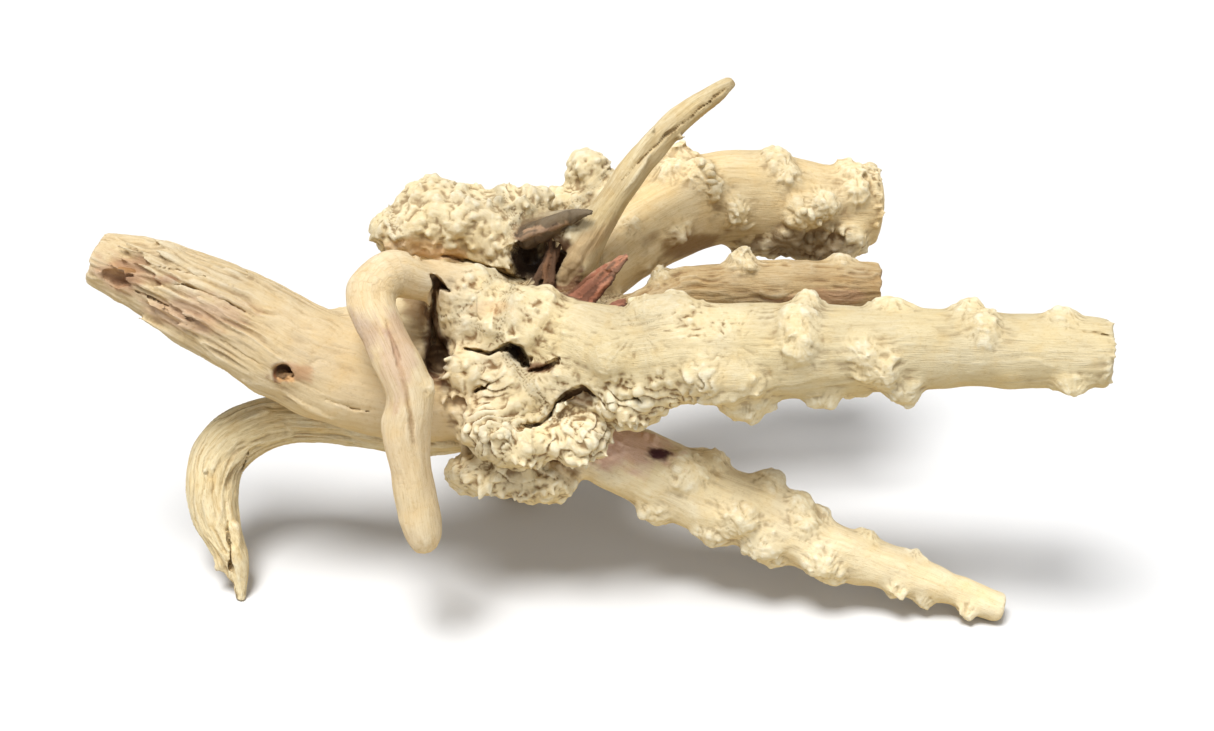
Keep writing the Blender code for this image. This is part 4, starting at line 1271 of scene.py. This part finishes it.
def paint(points, normals, links, find):
    """The wood's colour at each point, with painted shade in crevices, in hollows and on undersides and
    painted highlights on peaks, its straight grain and how far it is burl.
    """
    near, grain = limb_field(points)
    much, crowd, knobby = burl_field(points)
    tones = np.array([linear(LIMB_LOOKS[name][2]) for name in limbs])
    share = near.sum(1)
    weight = np.minimum(share, 1.0)[:, None]
    limb_tone = near @ tones / np.maximum(share, 1e-6)[:, None]
    cover = np.clip(much * (0.35 + 0.6 * crowd) * (1 - 0.6 * knobby), 0, 1)[:, None]
    tone = limb_tone * weight + linear(BURL_COLOUR) * (1 - weight)
    tone = tone * (1 - BURL_TONE_SHARE * cover) + linear(BURL_COLOUR) * BURL_TONE_SHARE * cover
    tone = tone * (1 + TONE_SWELL * noise(points, 22.0, 61)[:, None])
    tone *= 1 + np.array(TONE_DRIFT) * noise(points, 9.0, 62)[:, None]
    # Painted shade: points that lie deep in a crevice or hollow are darkened towards the crevice shade
    # colour.
    dip = np.zeros(len(points))
    for times, deep in ((4, FINE_SHADE_DIP), (24, WIDE_SHADE_DIP)):
        hollow = ((relaxed(points, links, times) - points) * normals).sum(1)
        dip += np.clip(hollow / deep, -1, 1) * 0.5
    low = smoothstep(0.03, 0.6, dip)[:, None] * (0.5 + (0.48 * much - 0.3 * crowd)[:, None])
    low *= 1 - 0.5 * knobby[:, None]
    # Painted highlight: points that stand out are made paler towards the peak colour.
    high = smoothstep(0.1, 0.9, -dip)[:, None] * (0.4 + 0.25 * much[:, None])
    tone = tone * (1 - low) + tone * linear(CREVICE_SHADE_COLOUR) / linear(BURL_COLOUR) * low
    tone *= 1 + high * (linear(PEAK_HIGHLIGHT_COLOUR) / linear(BURL_COLOUR) - 1)
    # Patches of other colour, some of them painted shade.
    for middle, radii, colour, strength, behind in PATCHES.values():
        if len(middle) == 2:
            middle = (*middle, layout(find(*middle))[2] + behind)
        middle = place(middle)
        inside = np.flatnonzero(np.abs(points - middle).max(axis=1) < max(radii) * 1.6 + 2)
        share = share_of(points[inside], middle, VIEW_AXES, np.array(radii, float))
        rough = 1 + 0.28 * noise(points[inside], 4.0, 65) + 0.14 * noise(points[inside], 1.6, 66)
        rough += 0.22 * noise(grain[inside], (9, 1.3, 1.3), 67)
        much_here = strength * smoothstep(1.15, 0.6, share * rough)[:, None]
        tone[inside] = tone[inside] * (1 - much_here) + linear(colour) * much_here
    nearest = np.full(len(points), 9.0)
    strand_tone = np.zeros((len(points), 3))
    for line, widths, colour in strands:
        inside = np.flatnonzero(((points > line.min(0) - 4) & (points < line.max(0) + 4)).all(axis=1))
        gaps = segment_gaps(points[inside], line, widths)
        closer = gaps < nearest[inside]
        nearest[inside[closer]] = gaps[closer]
        strand_tone[inside[closer]] = tone[inside[closer]] if colour is None else linear(colour)
    much_here = 0.9 * smoothstep(1.3, 0.4, nearest)[:, None]
    tone = tone * (1 - much_here) + strand_tone * much_here
    # Painted shade: the more a point faces down, the darker it is tinted.
    underside_shade = smoothstep(0.2, -0.75, normals[:, 2])[:, None]
    tone *= TONE_SHARE * (1 - underside_shade * (1 - np.array(UNDERSIDE_SHADE_TINT)))
    burl = np.clip(np.maximum(much * (0.3 + 0.7 * crowd), 0.6 * sound_trunk(near, grain)), 0, 1)
    return np.clip(tone, 0.004, 1), grain, burl


def wood_material(name, coarse):
    """Dry, matt wood: streaks and lines along the grain, pores and specks on the burls."""
    material = bpy.data.materials.new(name)
    material.use_nodes = True
    nodes, links = material.node_tree.nodes, material.node_tree.links
    shader = nodes["Principled BSDF"]
    shader.inputs["Roughness"].default_value = 0.78
    shader.inputs["Specular IOR Level"].default_value = 0.25

    def stored(name, output):
        attribute = nodes.new("ShaderNodeAttribute")
        attribute.attribute_name = name
        return attribute.outputs[output]

    def stretched(scale):
        mapping = nodes.new("ShaderNodeMapping")
        mapping.inputs["Scale"].default_value = scale
        links.new(grain, mapping.inputs["Vector"])
        return mapping.outputs["Vector"]

    def noise_of(vector, scale, detail, rough=0.55):
        texture = nodes.new("ShaderNodeTexNoise")
        texture.inputs["Scale"].default_value = scale
        texture.inputs["Detail"].default_value = detail
        texture.inputs["Roughness"].default_value = rough
        links.new(vector, texture.inputs["Vector"])
        return texture.outputs["Fac"]

    def math_of(operation, first, second):
        step = nodes.new("ShaderNodeMath")
        step.operation = operation
        for socket, value in zip(step.inputs, (first, second)):
            if isinstance(value, float):
                socket.default_value = value
            else:
                links.new(value, socket)
        return step.outputs["Value"]

    def spread_of(value, low, high, to_low, to_high):
        spread = nodes.new("ShaderNodeMapRange")
        for socket, number in zip(list(spread.inputs)[1:5], (low, high, to_low, to_high)):
            socket.default_value = number
        links.new(value, spread.inputs["Value"])
        return spread.outputs["Result"]

    def mixed(kind, factor, first, second):
        mix = nodes.new("ShaderNodeMix")
        mix.data_type = "RGBA"
        mix.blend_type = kind
        if isinstance(factor, float):
            mix.inputs["Factor"].default_value = factor
        else:
            links.new(factor, mix.inputs["Factor"])
        links.new(first, mix.inputs[6])
        if isinstance(second, tuple):
            mix.inputs[7].default_value = (*second, 1)
        else:
            links.new(second, mix.inputs[7])
        return mix.outputs[2]

    def tinted(colour, share, tint):
        return mixed("MIX", share, colour, mixed("MULTIPLY", 1.0, colour, tint))

    tone, grain, burl = stored("tone", "Color"), stored("grain", "Vector"), stored("burl", "Fac")
    streaks = noise_of(stretched((0.035, 0.5, 0.5)), 1.0, 4.0)
    lines = noise_of(stretched((0.11, 2.4, 2.4)), 1.0, 5.0, 0.62)
    where = nodes.new("ShaderNodeTexCoord").outputs["Object"]
    pores = noise_of(where, 620.0, 4.0, 0.6)
    specks = noise_of(where, 150.0, 3.0)
    plain = math_of("SUBTRACT", 1.0, burl)

    streak_share = math_of("MULTIPLY", spread_of(streaks, 0.45, 0.72, 0.0, coarse), plain)
    line_share = math_of("MULTIPLY", spread_of(lines, 0.50, 0.68, 0.0, 0.75 * coarse), plain)
    colour = tinted(tone, streak_share, STREAK_TINT)
    colour = tinted(colour, line_share, LINE_TINT)
    colour = tinted(colour, spread_of(pores, 0.55, 0.75, 0.0, 0.45), PORE_TINT)
    colour = tinted(colour, spread_of(specks, 0.48, 0.70, 0.0, 0.6), SPECK_TINT)
    links.new(colour, shader.inputs["Base Color"])

    grain_height = math_of("MULTIPLY", math_of("MULTIPLY", lines, plain), -1.0)
    pore_height = math_of("MULTIPLY", pores, -0.6)
    bump = nodes.new("ShaderNodeBump")
    bump.inputs["Strength"].default_value = 0.75
    bump.inputs["Distance"].default_value = 0.0007
    links.new(math_of("ADD", grain_height, pore_height), bump.inputs["Height"])
    links.new(bump.outputs["Normal"], shader.inputs["Normal"])
    return material


def store(mesh, name, kind, field, values):
    """Keeps a value for each point of the mesh under that name."""
    values = values.astype(np.float32).ravel()
    mesh.attributes.new(name, kind, "POINT").data.foreach_set(field, values)


def dress(points, faces, find):
    """Parts the wood into pieces, each in place of the node of its name."""
    links = links_of(faces)
    normals = normals_of(points, faces)
    tone, grain, burl = paint(points, normals, links, find)
    owners = owners_of(points, links)
    face_owner = owners[faces[:, 0]]
    is_head = (layout(points[faces[:, 0]])[:, 1] > HEAD_PARTS_AT) & (face_owner == "crown")
    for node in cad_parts:
        parts = {node: face_owner == node}
        if node == "crown":
            parts = {"crown": parts[node] & ~is_head, "burl_head": is_head}
        for name, chosen in parts.items():
            used, corners = np.unique(faces[chosen], return_inverse=True)
            corners = corners.reshape(-1, 3)
            mesh = mesh_of(name, points[used], corners)
            mesh.validate()
            mesh.shade_smooth()
            colours = np.column_stack([tone[used], np.ones(len(used))])
            store(mesh, "tone", "FLOAT_COLOR", "color", colours)
            store(mesh, "grain", "FLOAT_VECTOR", "vector", grain[used])
            store(mesh, "burl", "FLOAT", "value", burl[used])
            mesh.normals_split_custom_set_from_vertices(normals[used].tolist())
            mesh.materials.append(wood_material(f"{name}_wood", GRAIN_SHOWS.get(name, 0.8)))
            piece = bpy.data.objects.new(f"{name}_look", mesh)
            bpy.context.scene.collection.objects.link(piece)
            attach(piece, "root")
            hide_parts(node)
            print(name, len(corners), "triangles")


def set_stage():
    """A plain pale floor, soft light and the camera."""
    scene = bpy.context.scene
    bpy.ops.mesh.primitive_plane_add(size=8, location=(0, 0, -0.0004))
    floor = bpy.context.object
    floor.name = "floor"
    material = bpy.data.materials.new("pale_floor")
    material.use_nodes = True
    shader = material.node_tree.nodes["Principled BSDF"]
    shader.inputs["Base Color"].default_value = (0.66, 0.66, 0.66, 1)
    shader.inputs["Roughness"].default_value = 0.9
    floor.data.materials.append(material)

    world = bpy.data.worlds.new("soft_light")
    scene.world = world
    world.use_nodes = True
    sky = world.node_tree.nodes["Background"]
    sky.inputs["Color"].default_value = (1, 1, 1, 1)
    sky.inputs["Strength"].default_value = SKY_POWER

    def light(name, kind, power, spot, way):
        lamp = bpy.data.lights.new(name, kind)
        lamp.energy = power
        thing = bpy.data.objects.new(name, lamp)
        thing.location = spot
        thing.rotation_euler = Vector(way).to_track_quat("-Z", "Y").to_euler()
        scene.collection.objects.link(thing)
        return lamp

    light("key", "SUN", KEY_POWER, (0, 0, 0), (0.2, 0.2, -1)).angle = math.radians(26)
    fill = light("fill", "AREA", FILL_POWER, (0.6, -1.2, 0.7), (-0.6, 1.2, -0.62))
    fill.shape = "DISK"
    fill.size = 0.9

    camera = bpy.data.cameras.new("camera")
    view = bpy.data.objects.new("camera", camera)
    scene.collection.objects.link(view)
    scene.camera = view
    camera.sensor_width = SENSOR_WIDTH
    camera.lens = SENSOR_WIDTH * EYE_DISTANCE / (PHOTO_SIZE[0] * MM_PER_PIXEL)
    camera.clip_start = 0.05
    view.location = place((EYE_AXIS[0], EYE_AXIS[1], -EYE_DISTANCE + 1e-6)) * MM
    view.rotation_euler = (math.pi / 2 - VIEW_TILT, 0, 0)
    scene.view_settings.view_transform = "Standard"


BALL_SMALL, BALL_FINE = ball(2), ball(4)
DROP = teardrop(ball(2))
limbs = {name: Limb(name) for name in LIMBS}
burls = burl_shapes()
strands = strands_of(np.random.default_rng(STRAND_SEED))
wood_points, wood_quads, seen_at = grow()
wood_points = roughen(wood_points, wood_quads, seen_at)
wood_points, wood_faces = fewer_faces(wood_points, wood_quads, WANTED_FACES)
dress(wood_points, wood_faces, seen_at)
set_stage()

bpy.context.view_layer.update()
